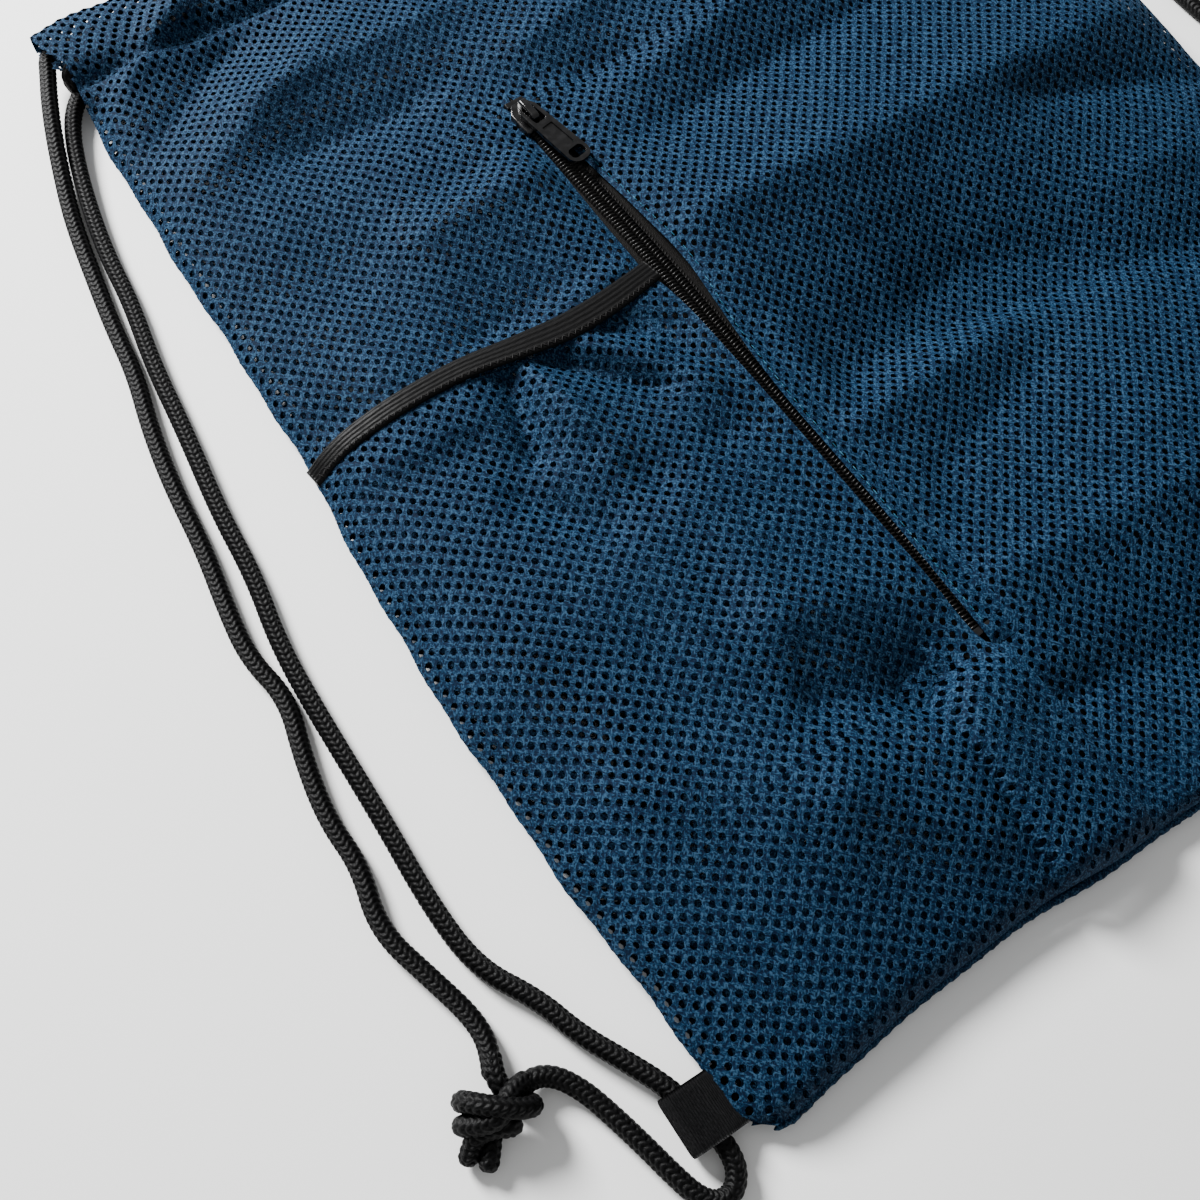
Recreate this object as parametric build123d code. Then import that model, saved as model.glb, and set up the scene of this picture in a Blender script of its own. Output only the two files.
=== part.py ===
from build123d import *
import math
import os

# Drawstring backpack, lying flat on its back with the front panel up.
# Millimetres. +X is to the right of someone who looks at the front, +Y is towards the mouth,
# +Z is up, and the origin is the middle of the bag's outline on the surface it lies on.

# ---- driving dimensions ------------------------------------------------------------------
BAG_WIDTH = 340.0
BAG_HEIGHT = 404.0
CLOTH = 1.0  # thickness of the open mesh cloth
CORD_DIAMETER = 5.2
TUNNEL_ROOM = CORD_DIAMETER + 0.6  # free height inside a drawstring tunnel
TUNNEL_WIDTH = 26.0  # along Y
TUNNEL_SETBACK = 12.0  # the tunnels end this far inside the side edges
MOUTH_GAP = 5.0
SEAM_WIDTH = 2.4

ZIP_LENGTH = 230.0
ZIP_TILT = 2.48  # degrees, the top leans towards -X
ZIP_MIDDLE = (-45.2, -17.5)
ZIP_SLIT = 11.0  # gap between the two front panels along the zip
TAPE_WIDTH = 12.0
TAPE_THICKNESS = 0.6
COIL_WIDTH = 2.8
COIL_HEIGHT = 2.2
COIL_GAP = 1.6  # between the two coils, where the slider's post runs
STOP_LENGTH = 2.5

SLIDER_LENGTH = 13.0
SLIDER_WIDTH = 10.0
SLIDER_PLATE = 1.2
SLIDER_TRAVEL = 212.0
RUNNING_GAP = 0.3
CROWN_WIDTH = 2.6
PULL_LENGTH = 27.1
PULL_THICKNESS = 1.6
PULL_YAW = 9.0  # degrees, how far the pull has swung off the zip's line
PULL_DROOP = 2.0  # degrees, how far the pull's tip leans down to the coil

LINING_TOP = 112.0  # Y of the zipped pocket's upper seam
LINING_THICKNESS = 0.6
LINING_Z = 6.2
POCKET_MOUTH = 9.0  # Y of the pocket cloth's edge, under the elastic
ELASTIC_WIDTH = 8.0
ELASTIC_THICKNESS = 1.6
POCKET_ROOM = 4.8
POCKET_RIGHT_GAP = 7.5  # from the zip's line to the pocket's side

TAB_WIDTH = 16.0
TAB_REACH = 16.0  # how far the tab stands out from the side seam
TAB_THICKNESS = 1.2
TAB_LOW = -199.0
TAB_ROOM = CORD_DIAMETER + 0.8
KNOT_X = 218.5  # distance of each cord's knot from the middle of the bag

# ---- heights worked out from them ----------------------------------------------------------
TUNNEL_HEIGHT = TUNNEL_ROOM + 2 * CLOTH
FRONT_Z = TUNNEL_HEIGHT + MOUTH_GAP  # underside of the front panels
FRONT_TOP = FRONT_Z + CLOTH
BACK_CORD_Z = TUNNEL_HEIGHT / 2
FRONT_CORD_Z = FRONT_Z + TUNNEL_HEIGHT / 2
TAPE_Z = FRONT_Z - TAPE_THICKNESS
COIL_TOP = FRONT_Z + COIL_HEIGHT
POCKET_Z = FRONT_TOP + POCKET_ROOM
TAB_CORD_Z = TAB_THICKNESS + TAB_ROOM / 2

HALF_WIDTH = BAG_WIDTH / 2
TOP = BAG_HEIGHT / 2
BOTTOM = -TOP
TUNNEL_BOTTOM = TOP - TUNNEL_WIDTH
TUNNEL_END = HALF_WIDTH - TUNNEL_SETBACK
SEAM_JOIN_BOTTOM = (-44.6, BOTTOM)  # where the front seam meets the bottom edge

# The two cords lie side by side in each tunnel. Y of each one's line, in the front and the back.
LEFT_CORD_LINES = (197.0, 192.0)
RIGHT_CORD_LINES = (186.0, 184.0)
TURN_X = TUNNEL_END + 0.4  # where a cord leaves the straight and turns back at the far end

# ---- routes of the free cords, chosen by hand ----------------------------------------------
LEFT_OUTER_ROUTE = [
    (-158, 197, 16.7),
    (-163.2, 197, 16.7),
    (-169, 194.6, 15.6),
    (-173.1, 188.6, 13.2),
    (-176.3, 180.2, 10.6),
    (-180.5, 169, 8.3),
    (-185.5, 154, 5.8),
    (-190.6, 136, 3.8),
    (-194.4, 113, 2.8),
    (-197.4, 93, 2.8),
    (-199.2, 75, 2.8),
    (-204.0, 55, 2.8),
    (-207.2, 34, 2.8),
    (-208.8, 12, 2.8),
    (-212.2, -9, 2.8),
    (-213.9, -25, 2.8),
    (-210.6, -41, 2.8),
    (-215.4, -59, 2.8),
    (-218.2, -77, 2.8),
    (-217.0, -92, 2.8),
    (-221.4, -109, 2.8),
    (-216.2, -127, 2.8),
    (-212.4, -141, 2.9),
    (-213.0, -150, 3.8),
    (-216.4, -156.4, 5.4),
]
LEFT_INNER_ROUTE = [
    (-158, 192, 3.9),
    (-163, 192, 3.9),
    (-168.2, 189.6, 4.6),
    (-171.4, 183.6, 5.0),
    (-174.2, 174.5, 4.7),
    (-178.4, 160, 4.0),
    (-183.3, 141, 3.1),
    (-187.2, 119, 2.8),
    (-188.8, 99, 2.8),
    (-193.2, 75, 2.8),
    (-195.9, 48, 2.8),
    (-199.7, 20, 2.8),
    (-201.0, -4, 2.8),
    (-205.2, -27, 2.8),
    (-205.9, -54, 2.8),
    (-206.0, -84, 2.8),
    (-207.0, -111, 2.8),
    (-205.2, -131, 2.8),
    (-196.4, -146, 3.0),
    (-192.6, -158.5, 3.4),
    (-186.4, -170.5, 3.9),
    (-181.6, -180.5, 4.2),
    (-178.9, -189.5, 4.2),
    (-177.3, -197, 4.1),
    (-177.0, -202, 3.8),
    (-177.9, -206.4, 3.4),
    (-181.3, -209.9, 3.0),
    (-186.0, -209.7, 2.8),
    (-189.2, -205.8, 2.8),
    (-191.3, -198.6, 2.8),
    (-193.4, -189.5, 2.8),
    (-196.0, -179.5, 2.8),
    (-198.8, -170.5, 2.9),
    (-203.0, -163.4, 3.4),
    (-208.6, -160.6, 4.4),
    (-213.0, -161.8, 5.6),
]
RIGHT_OUTER_ROUTE = [
    (158, 186, 16.7),
    (163.2, 186, 16.7),
    (169, 183.8, 15.7),
    (173.4, 178.2, 13.4),
    (177.2, 170.4, 10.6),
    (181.8, 159, 7.8),
    (186.4, 144.5, 5.2),
    (191.4, 126, 3.4),
    (195.0, 103, 2.8),
    (198.2, 80, 2.8),
    (203.4, 57, 2.8),
    (205.0, 33, 2.8),
    (208.4, 9, 2.8),
    (208.0, -15, 2.8),
    (212.6, -38, 2.8),
    (212.2, -61, 2.8),
    (215.6, -83, 2.8),
    (217.4, -106, 2.8),
    (213.6, -126, 2.8),
    (210.8, -140, 2.9),
    (211.2, -149.5, 3.8),
    (215.0, -156.4, 5.4),
]
RIGHT_INNER_ROUTE = [
    (158, 184, 3.9),
    (163.2, 184, 3.9),
    (169, 182, 4.2),
    (173.4, 177, 4.2),
    (176.2, 168.5, 3.8),
    (178.6, 156, 3.2),
    (181.2, 138, 2.8),
    (183.6, 114, 2.8),
    (187.2, 88, 2.8),
    (188.0, 62, 2.8),
    (190.6, 38, 2.8),
    (190.2, 14, 2.8),
    (193.6, -11, 2.8),
    (194.8, -38, 2.8),
    (198.6, -64, 2.8),
    (199.6, -91, 2.8),
    (202.2, -115, 2.8),
    (199.8, -134, 2.8),
    (194.6, -148, 3.0),
    (191.2, -160, 3.4),
    (185.8, -171, 3.9),
    (181.8, -180.5, 4.2),
    (179.3, -189.5, 4.2),
    (178.0, -197, 4.1),
    (178.0, -202, 3.8),
    (179.2, -206.4, 3.4),
    (182.8, -209.6, 3.0),
    (187.4, -209.0, 2.8),
    (190.2, -204.8, 2.8),
    (191.6, -197.6, 2.8),
    (193.0, -188.5, 2.8),
    (195.2, -178.5, 2.8),
    (197.4, -170.0, 2.9),
    (201.2, -163.2, 3.4),
    (207.4, -160.6, 4.4),
    (212.2, -161.8, 5.6),
]


def block(x, y, z):
    """A box from its low and high corners, one pair for each axis."""
    size = (x[1] - x[0], y[1] - y[0], z[1] - z[0])
    middle = ((x[0] + x[1]) / 2, (y[0] + y[1]) / 2, (z[0] + z[1]) / 2)
    return Pos(*middle) * Box(*size)


def slab(outline, low, high):
    """A flat plate with a straight-sided outline."""
    face = make_face(Polyline(*outline, close=True))
    return Pos(0, 0, low) * extrude(face, high - low)


def on_zip(shape):
    """Moves a shape from the zip's own frame, with +Y up along the zip, onto the bag."""
    return Pos(ZIP_MIDDLE[0], ZIP_MIDDLE[1], 0) * Rot(0, 0, ZIP_TILT) * shape


def zip_point(across, along):
    """The X and Y of a point given in the zip's own frame."""
    angle = math.radians(ZIP_TILT)
    x = ZIP_MIDDLE[0] + across * math.cos(angle) - along * math.sin(angle)
    y = ZIP_MIDDLE[1] + across * math.sin(angle) + along * math.cos(angle)
    return (x, y)


def seam_x(y):
    """X of the zip's line, run on to any Y above the zip."""
    return ZIP_MIDDLE[0] - (y - ZIP_MIDDLE[1]) * math.tan(math.radians(ZIP_TILT))


# ---- cloth -----------------------------------------------------------------------------------
def back_panel():
    return block((-HALF_WIDTH, HALF_WIDTH), (BOTTOM, TUNNEL_BOTTOM), (0, CLOTH))


def front_panel(side):
    """One front panel, cut away along the zip. side is -1 for the left and 1 for the right."""
    slit = side * ZIP_SLIT / 2
    zip_half = ZIP_LENGTH / 2
    outline = [
        (side * HALF_WIDTH, BOTTOM),
        SEAM_JOIN_BOTTOM,
        zip_point(0, -zip_half - 3),
        zip_point(slit, -zip_half - 3),
        zip_point(slit, zip_half + 1.5),
        zip_point(0, zip_half + 1.5),
        (seam_x(TUNNEL_BOTTOM), TUNNEL_BOTTOM),
        (side * HALF_WIDTH, TUNNEL_BOTTOM),
    ]
    return slab(outline, FRONT_Z, FRONT_TOP)


def drawstring_tunnel(low):
    """A flat sleeve along the mouth, open at both ends, for the cords."""
    ends = (-TUNNEL_END, TUNNEL_END)
    sleeve = block(ends, (TUNNEL_BOTTOM, TOP), (low, low + TUNNEL_HEIGHT))
    sleeve = fillet(sleeve.edges().filter_by(Axis.X), 1.5)
    room = block(
        (-HALF_WIDTH, HALF_WIDTH),
        (TUNNEL_BOTTOM + CLOTH, TOP - CLOTH),
        (low + CLOTH, low + CLOTH + TUNNEL_ROOM),
    )
    return sleeve - room


def tab_slot(side):
    """The slot in a side seam that the tab's two layers are sewn into."""
    near = side * (HALF_WIDTH - SEAM_WIDTH - 1)
    far = side * (HALF_WIDTH + 1)
    return block(
        (min(near, far), max(near, far)),
        (TAB_LOW, TAB_LOW + TAB_WIDTH),
        (TAB_CORD_Z - TAB_THICKNESS, TAB_CORD_Z + TAB_THICKNESS),
    )


def side_seam(side):
    inner = side * (HALF_WIDTH - SEAM_WIDTH)
    outer = side * HALF_WIDTH
    wall = block(
        (min(inner, outer), max(inner, outer)),
        (BOTTOM, TUNNEL_BOTTOM),
        (CLOTH, FRONT_Z),
    )
    return wall - tab_slot(side)


def bottom_seam():
    inner = HALF_WIDTH - SEAM_WIDTH
    return block((-inner, inner), (BOTTOM, BOTTOM + SEAM_WIDTH), (CLOTH, FRONT_Z))


def zip_pocket_lining():
    """A sheet behind the right front panel, sewn in at the sides, the bottom and its top edge."""
    left = -68.0
    right = HALF_WIDTH - SEAM_WIDTH
    floor = BOTTOM + SEAM_WIDTH
    return block((left, right), (floor, LINING_TOP), (LINING_Z, LINING_Z + LINING_THICKNESS))


def pocket_outline(inset):
    """The pocket's outline, moved in on the three sewn sides."""
    right_top = zip_point(-POCKET_RIGHT_GAP - inset, POCKET_MOUTH - ZIP_MIDDLE[1])[0]
    right_bottom = zip_point(-POCKET_RIGHT_GAP - inset, BOTTOM - ZIP_MIDDLE[1])[0]
    return [
        (-HALF_WIDTH + inset, BOTTOM + inset),
        (right_bottom, BOTTOM + inset),
        (right_top, POCKET_MOUTH),
        (-HALF_WIDTH + inset, POCKET_MOUTH),
    ]


def side_pocket_panel():
    """A shallow cloth tray, open towards the mouth of the bag."""
    tray = slab(pocket_outline(0), FRONT_TOP, POCKET_Z + CLOTH)
    room = slab(pocket_outline(CLOTH), FRONT_TOP - 1, POCKET_Z)
    return tray - room


def pocket_elastic_binding():
    """The elastic across the pocket's mouth, with an end sewn down at each side."""
    right = zip_point(-POCKET_RIGHT_GAP, POCKET_MOUTH - ZIP_MIDDLE[1])[0]
    span = (-HALF_WIDTH, right - 1)
    along = (POCKET_MOUTH, POCKET_MOUTH + ELASTIC_WIDTH)
    top = POCKET_Z + ELASTIC_THICKNESS
    band = block(span, along, (FRONT_TOP, top))
    band = fillet(band.edges().filter_by(Axis.Y).group_by(Axis.Z)[-1], 1.2)
    room = block((span[0] + 1.2, span[1] - 1.2), (POCKET_MOUTH - 1, along[1] + 1), (0, POCKET_Z))
    return band - room


# ---- zip ---------------------------------------------------------------------------------------
def zipper_tape(side):
    inner = side * COIL_GAP / 2
    outer = side * (COIL_GAP / 2 + TAPE_WIDTH)
    half = ZIP_LENGTH / 2 + 6
    tape = block((min(inner, outer), max(inner, outer)), (-half, half), (TAPE_Z, FRONT_Z))
    return on_zip(tape)


def zipper_coil(side):
    """One row of the zip's coil, as a bar with rounded shoulders."""
    inner = side * COIL_GAP / 2
    outer = side * (COIL_GAP / 2 + COIL_WIDTH)
    half = ZIP_LENGTH / 2 - STOP_LENGTH
    coil = block((min(inner, outer), max(inner, outer)), (-half, half), (FRONT_Z, COIL_TOP))
    coil = fillet(coil.edges().filter_by(Axis.Y).group_by(Axis.Z)[-1], 0.6)
    return on_zip(coil)


def zipper_stop(end):
    """The block across both coils at one end of the zip. end is 1 for the top."""
    reach = COIL_GAP / 2 + COIL_WIDTH
    near = end * (ZIP_LENGTH / 2 - STOP_LENGTH)
    far = end * ZIP_LENGTH / 2
    stop = block((-reach, reach), (min(near, far), max(near, far)), (FRONT_Z, COIL_TOP))
    stop = fillet(stop.edges().group_by(Axis.Z)[-1], 0.5)
    return on_zip(stop)


# ---- slider, in the zip's own frame with Y = 0 at the slider's middle ----------------------------
SLIDER_REST = ZIP_LENGTH / 2 - STOP_LENGTH - RUNNING_GAP - SLIDER_LENGTH / 2
SLIDER_BASE_TOP = TAPE_Z - RUNNING_GAP
SLIDER_DECK = COIL_TOP + RUNNING_GAP
SLIDER_TOP = SLIDER_DECK + SLIDER_PLATE
PIVOT_Z = SLIDER_TOP + 1.5
CROWN_TOP = PIVOT_Z + 2.1


def at_slider(shape):
    return on_zip(Pos(0, SLIDER_REST, 0) * shape)


def slider_plate(low, high, taper):
    """A shield-shaped plate, wide at the top of the zip and narrower at the bottom."""
    wide = SLIDER_WIDTH / 2
    narrow = wide - taper
    half = SLIDER_LENGTH / 2
    outline = [
        (-narrow, -half),
        (narrow, -half),
        (wide, -half + 4),
        (wide, half - 3.5),
        (wide - 2.2, half),
        (-wide + 2.2, half),
        (-wide, half - 3.5),
        (-wide, -half + 4),
    ]
    plate = slab(outline, low, high)
    return fillet(plate.edges().filter_by(Axis.Z), 1.0)


def slider_body():
    """Two plates joined by a post, with the upper plate's edges turned down beside the coil."""
    base = slider_plate(SLIDER_BASE_TOP - SLIDER_PLATE + 0.2, SLIDER_BASE_TOP, 0.6)
    deck = slider_plate(FRONT_Z + RUNNING_GAP, SLIDER_TOP, 0.4)
    deck = fillet(deck.edges().group_by(Axis.Z)[-1], 0.5)
    flank = COIL_GAP / 2 + COIL_WIDTH + RUNNING_GAP
    tunnel = block((-flank, flank), (-SLIDER_LENGTH, SLIDER_LENGTH), (0, SLIDER_DECK))
    post_half = COIL_GAP / 2 - RUNNING_GAP
    post = block((-post_half, post_half), (1.5, 5.5), (SLIDER_BASE_TOP, SLIDER_DECK))
    pawl_hole = Pos(0, -2.9, SLIDER_TOP) * Box(1.2, 1.4, 2 * SLIDER_PLATE + 1)
    return at_slider(base + (deck - tunnel) + post - pawl_hole)


def spring_path(grow):
    """The lock spring: a leaf along the crown with its tip turned down through the deck."""
    low = PIVOT_Z + 1.25 - grow
    high = PIVOT_Z + 1.55 + grow
    across = (-0.4 - grow, 0.4 + grow)
    leaf = block(across, (-3.3 - grow, 3.4 + grow), (low, high))
    tip_low = SLIDER_DECK + 0.2 if grow == 0 else SLIDER_TOP - 1
    tip = block(across, (-3.3 - grow, -2.6 + grow), (tip_low, high))
    return leaf + tip


def slider_crown():
    """The bridge on the slider's deck that the pull's cross bar passes under."""
    crown = block((-CROWN_WIDTH / 2, CROWN_WIDTH / 2), (-4.6, 4.8), (SLIDER_TOP, CROWN_TOP))
    crown = fillet(crown.edges().filter_by(Axis.X).group_by(Axis.Z)[-1], 1.6)
    crown = fillet(crown.edges().filter_by(Axis.Y).group_by(Axis.Z)[-1], 0.5)
    window = block((-CROWN_WIDTH, CROWN_WIDTH), (-1.9, 1.9), (SLIDER_TOP - 1, PIVOT_Z + 0.95))
    return at_slider(crown - window - spring_path(0.15))


def slider_lock_spring():
    return at_slider(spring_path(0))


def pull_tab():
    """The pull: a tapered fork with a round cross bar, a recess and an open lower end."""
    top = 1.1
    top_half = 3.5
    low = -PULL_LENGTH + top
    low_half = 4.3
    outline = [
        (-top_half, 0.3),
        (-top_half + 0.8, top),
        (top_half - 0.8, top),
        (top_half, 0.3),
        (low_half, low),
        (-low_half, low),
    ]
    half = PULL_THICKNESS / 2
    plate = slab(outline, -half, half)
    plate = fillet(plate.edges().filter_by(Axis.Z).group_by(Axis.Y)[0], 3.6)
    window = block((-2.2, 2.2), (-5.9, 2), (-2, 2))
    window = fillet(window.edges().filter_by(Axis.Z).group_by(Axis.Y)[0], 0.8)
    grip_hole = block((-2.9, 2.9), (low + 1.8, low + 5.8), (-2, 2))
    grip_hole = fillet(grip_hole.edges().filter_by(Axis.Z), 1.6)
    recess = block((-2.1, 2.1), (-18.6, -8.2), (half - 0.5, 2))
    recess = fillet(recess.edges().filter_by(Axis.Z), 0.4)
    cross_bar = Rot(0, 90, 0) * Cylinder(0.6, 5.0)
    pull = plate - window - grip_hole - recess + cross_bar
    return at_slider(Pos(0, 0, PIVOT_Z) * Rot(0, 0, PULL_YAW) * Rot(PULL_DROOP, 0, 0) * pull)


# ---- webbing tabs --------------------------------------------------------------------------------
def cord_tab(side):
    """A strip of webbing folded over the cord, its two layers sewn together into the side seam."""
    tip = HALF_WIDTH + TAB_REACH
    top = 2 * TAB_THICKNESS + TAB_ROOM
    shape = block((HALF_WIDTH, tip), (TAB_LOW, TAB_LOW + TAB_WIDTH), (0, top))
    shape = fillet(shape.edges().filter_by(Axis.Y).group_by(Axis.X)[-1], 3.9)
    neck = [
        (HALF_WIDTH + 0.2, -0.1),
        (HALF_WIDTH + 4.5, -0.1),
        (HALF_WIDTH + 0.2, TAB_CORD_Z - TAB_THICKNESS),
    ]
    low_cut = side_prism(neck)
    high_cut = side_prism([(x, top - z) for x, z in neck])
    room_end = tip - TAB_THICKNESS
    room = block((HALF_WIDTH + 2.6, room_end), (-TOP - 9, -TOP + 40), (TAB_THICKNESS, top - TAB_THICKNESS))
    room = fillet(room.edges().filter_by(Axis.Y).group_by(Axis.X)[-1], 2.8)
    room = chamfer(room.edges().filter_by(Axis.Y).group_by(Axis.X)[0], 2.6)
    root = block(
        (HALF_WIDTH - SEAM_WIDTH, HALF_WIDTH + 1),
        (TAB_LOW, TAB_LOW + TAB_WIDTH),
        (TAB_CORD_Z - TAB_THICKNESS, TAB_CORD_Z + TAB_THICKNESS),
    )
    tab = shape - low_cut - high_cut + root - room
    return tab if side > 0 else mirror(tab, Plane.YZ)


def side_prism(points):
    """A prism along Y over the tab's whole width, from points in X and Z."""
    outline = [Vector(x, TAB_LOW - 1, z) for x, z in points]
    face = make_face(Polyline(*outline, close=True))
    return extrude(face, TAB_WIDTH + 2, dir=(0, 1, 0))


# ---- cords ---------------------------------------------------------------------------------------
def corner_radii(points):
    """As large an arc at each corner as its two straight runs allow."""
    radii = []
    for before, here, after in zip(points, points[1:], points[2:]):
        turn = math.radians((here - before).get_angle(after - here))
        shorter = min((here - before).length, (after - here).length)
        radii.append(0.45 * shorter / math.tan(turn / 2))
    return radii


def cord_tube(name, route):
    """A round cord along straight runs joined by tangent arcs."""
    points = [Vector(*p) for p in route]
    radii = corner_radii(points)
    path = FilletPolyline(*points, radius=radii)
    start = Plane(origin=path @ 0, z_dir=path % 0)
    tube = sweep(start * Circle(CORD_DIAMETER / 2), path=path)
    wanted = math.pi * (CORD_DIAMETER / 2) ** 2 * path.length
    print(name, "length", round(path.length, 1), "volume ratio", round(tube.volume / wanted, 4))
    print("   corner radii", [round(r, 1) for r in radii])
    return tube


def cord_in_tunnels(name, side, lines):
    """The hidden part of a cord: along the front tunnel, round, and back along the back one.

    side is -1 for the cord whose ends leave at the left, so that it turns at the right."""
    start = side * TUNNEL_END
    turn = -side * TURN_X
    front = Vector(turn, lines[0], FRONT_CORD_Z)
    back = Vector(turn, lines[1], BACK_CORD_Z)
    radius = (front - back).length / 2
    middle = (front + back) * 0.5 + Vector(-side * radius, 0, 0)
    path = Wire(
        [
            Edge.make_line((start, lines[0], FRONT_CORD_Z), front),
            Edge.make_three_point_arc(front, middle, back),
            Edge.make_line(back, (start, lines[1], BACK_CORD_Z)),
        ]
    )
    face = Plane(origin=path @ 0, z_dir=path % 0) * Circle(CORD_DIAMETER / 2)
    tube = sweep(face, path=path)
    wanted = math.pi * (CORD_DIAMETER / 2) ** 2 * path.length
    print(name, "length", round(path.length, 1), "volume ratio", round(tube.volume / wanted, 4))
    print("   turn radius", round(radius, 1))
    return tube


def ball(middle, radius):
    return Pos(*middle) * Sphere(radius)


def stub(start, end):
    """A short cut end of cord."""
    a = Vector(*start)
    b = Vector(*end)
    return Solid.make_cylinder(CORD_DIAMETER / 2, (b - a).length, Plane(origin=a, z_dir=b - a))


def cord_knot(side):
    """An overhand knot tied in both ends of a cord, as a lump with its two short tails."""
    x = KNOT_X
    lump = ball((-x, -161.0, 7.0), 6.9) + ball((-x + 4.6, -163.0, 6.2), 5.6)
    lump = lump + ball((-x - 4.2, -159.8, 6.0), 5.6)
    tail_one = stub((-x - 5, -161, 5.0), (-x - 13.2, -168.0, 3.4))
    tail_two = stub((-x - 3, -162, 5.0), (-x - 9.8, -172.4, 3.2))
    knot = lump + tail_one + tail_two
    return knot if side < 0 else mirror(knot, Plane.YZ)


# ---- the pieces ------------------------------------------------------------------------------------
parts = {
    "back_panel": back_panel(),
    "front_panel_left": front_panel(-1),
    "front_panel_right": front_panel(1),
    "back_drawstring_tunnel": drawstring_tunnel(0),
    "front_drawstring_tunnel": drawstring_tunnel(FRONT_Z),
    "left_side_seam": side_seam(-1),
    "right_side_seam": side_seam(1),
    "bottom_seam": bottom_seam(),
    "zip_pocket_lining": zip_pocket_lining(),
    "side_pocket_panel": side_pocket_panel(),
    "pocket_elastic_binding": pocket_elastic_binding(),
    "zipper_tape_left": zipper_tape(-1),
    "zipper_tape_right": zipper_tape(1),
    "zipper_coil_left": zipper_coil(-1),
    "zipper_coil_right": zipper_coil(1),
    "zipper_top_stop": zipper_stop(1),
    "zipper_bottom_stop": zipper_stop(-1),
    "slider_body": slider_body(),
    "slider_crown": slider_crown(),
    "slider_lock_spring": slider_lock_spring(),
    "pull_tab": pull_tab(),
    "left_cord_tab": cord_tab(-1),
    "right_cord_tab": cord_tab(1),
    "left_cord_in_tunnels": cord_in_tunnels("left_cord_in_tunnels", -1, LEFT_CORD_LINES),
    "right_cord_in_tunnels": cord_in_tunnels("right_cord_in_tunnels", 1, RIGHT_CORD_LINES),
    "left_cord_outer_run": cord_tube("left_cord_outer_run", LEFT_OUTER_ROUTE),
    "left_cord_inner_run": cord_tube("left_cord_inner_run", LEFT_INNER_ROUTE),
    "right_cord_outer_run": cord_tube("right_cord_outer_run", RIGHT_OUTER_ROUTE),
    "right_cord_inner_run": cord_tube("right_cord_inner_run", RIGHT_INNER_ROUTE),
    "left_cord_knot": cord_knot(-1),
    "right_cord_knot": cord_knot(1),
}

os.makedirs("parts", exist_ok=True)
for name, shape in parts.items():
    export_step(shape, os.path.join("parts", name + ".step"))
print("slider rest", zip_point(0, SLIDER_REST), "pivot z", PIVOT_Z, "travel", SLIDER_TRAVEL)
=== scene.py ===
import math

import bmesh
import bpy
import numpy as np
from mathutils import Matrix, Vector


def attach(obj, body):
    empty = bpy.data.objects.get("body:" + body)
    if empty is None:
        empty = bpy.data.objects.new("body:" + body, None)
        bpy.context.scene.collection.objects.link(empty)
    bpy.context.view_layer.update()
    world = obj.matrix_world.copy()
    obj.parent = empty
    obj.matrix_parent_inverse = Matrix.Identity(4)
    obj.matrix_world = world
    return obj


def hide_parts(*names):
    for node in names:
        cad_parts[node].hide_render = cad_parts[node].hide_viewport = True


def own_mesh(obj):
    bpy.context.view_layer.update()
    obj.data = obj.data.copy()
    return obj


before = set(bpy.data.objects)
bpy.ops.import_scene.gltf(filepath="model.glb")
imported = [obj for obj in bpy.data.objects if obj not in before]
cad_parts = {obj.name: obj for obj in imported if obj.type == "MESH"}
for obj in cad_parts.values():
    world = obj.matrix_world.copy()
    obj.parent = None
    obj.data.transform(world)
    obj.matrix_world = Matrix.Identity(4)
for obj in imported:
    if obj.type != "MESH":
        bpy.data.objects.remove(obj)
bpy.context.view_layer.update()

# A drawstring backpack that lies on its back. The frame is in metres. The cloth's own functions
# work in millimetres, and make_mesh turns them into metres.
MM = 0.001
CORD_DIAMETER = 5.2
rng = np.random.default_rng(7)

# ---- routes of the free cords, in metres ----
# They are the CAD's routes. Only the first points of three of them lie elsewhere, where the photo
# shows the cord come out from under the cloth.
LEFT_OUTER_ROUTE = [
    (-0.1580, 0.1955, 0.0110), (-0.1640, 0.1972, 0.0104), (-0.1694, 0.1972, 0.0094),
    (-0.1722, 0.1905, 0.0088), (-0.1760, 0.1815, 0.0086), (-0.1806, 0.1690, 0.0080),
    (-0.1855, 0.1540, 0.0058), (-0.1906, 0.1360, 0.0038), (-0.1944, 0.1130, 0.0028),
    (-0.1974, 0.0930, 0.0028), (-0.1992, 0.0750, 0.0028), (-0.2040, 0.0550, 0.0028),
    (-0.2072, 0.0340, 0.0028), (-0.2088, 0.0120, 0.0028), (-0.2122, -0.0090, 0.0028),
    (-0.2139, -0.0250, 0.0028), (-0.2106, -0.0410, 0.0028), (-0.2154, -0.0590, 0.0028),
    (-0.2182, -0.0770, 0.0028), (-0.2170, -0.0920, 0.0028), (-0.2214, -0.1090, 0.0028),
    (-0.2162, -0.1270, 0.0028), (-0.2124, -0.1410, 0.0029), (-0.2130, -0.1500, 0.0038),
    (-0.2164, -0.1564, 0.0054),
]
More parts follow.
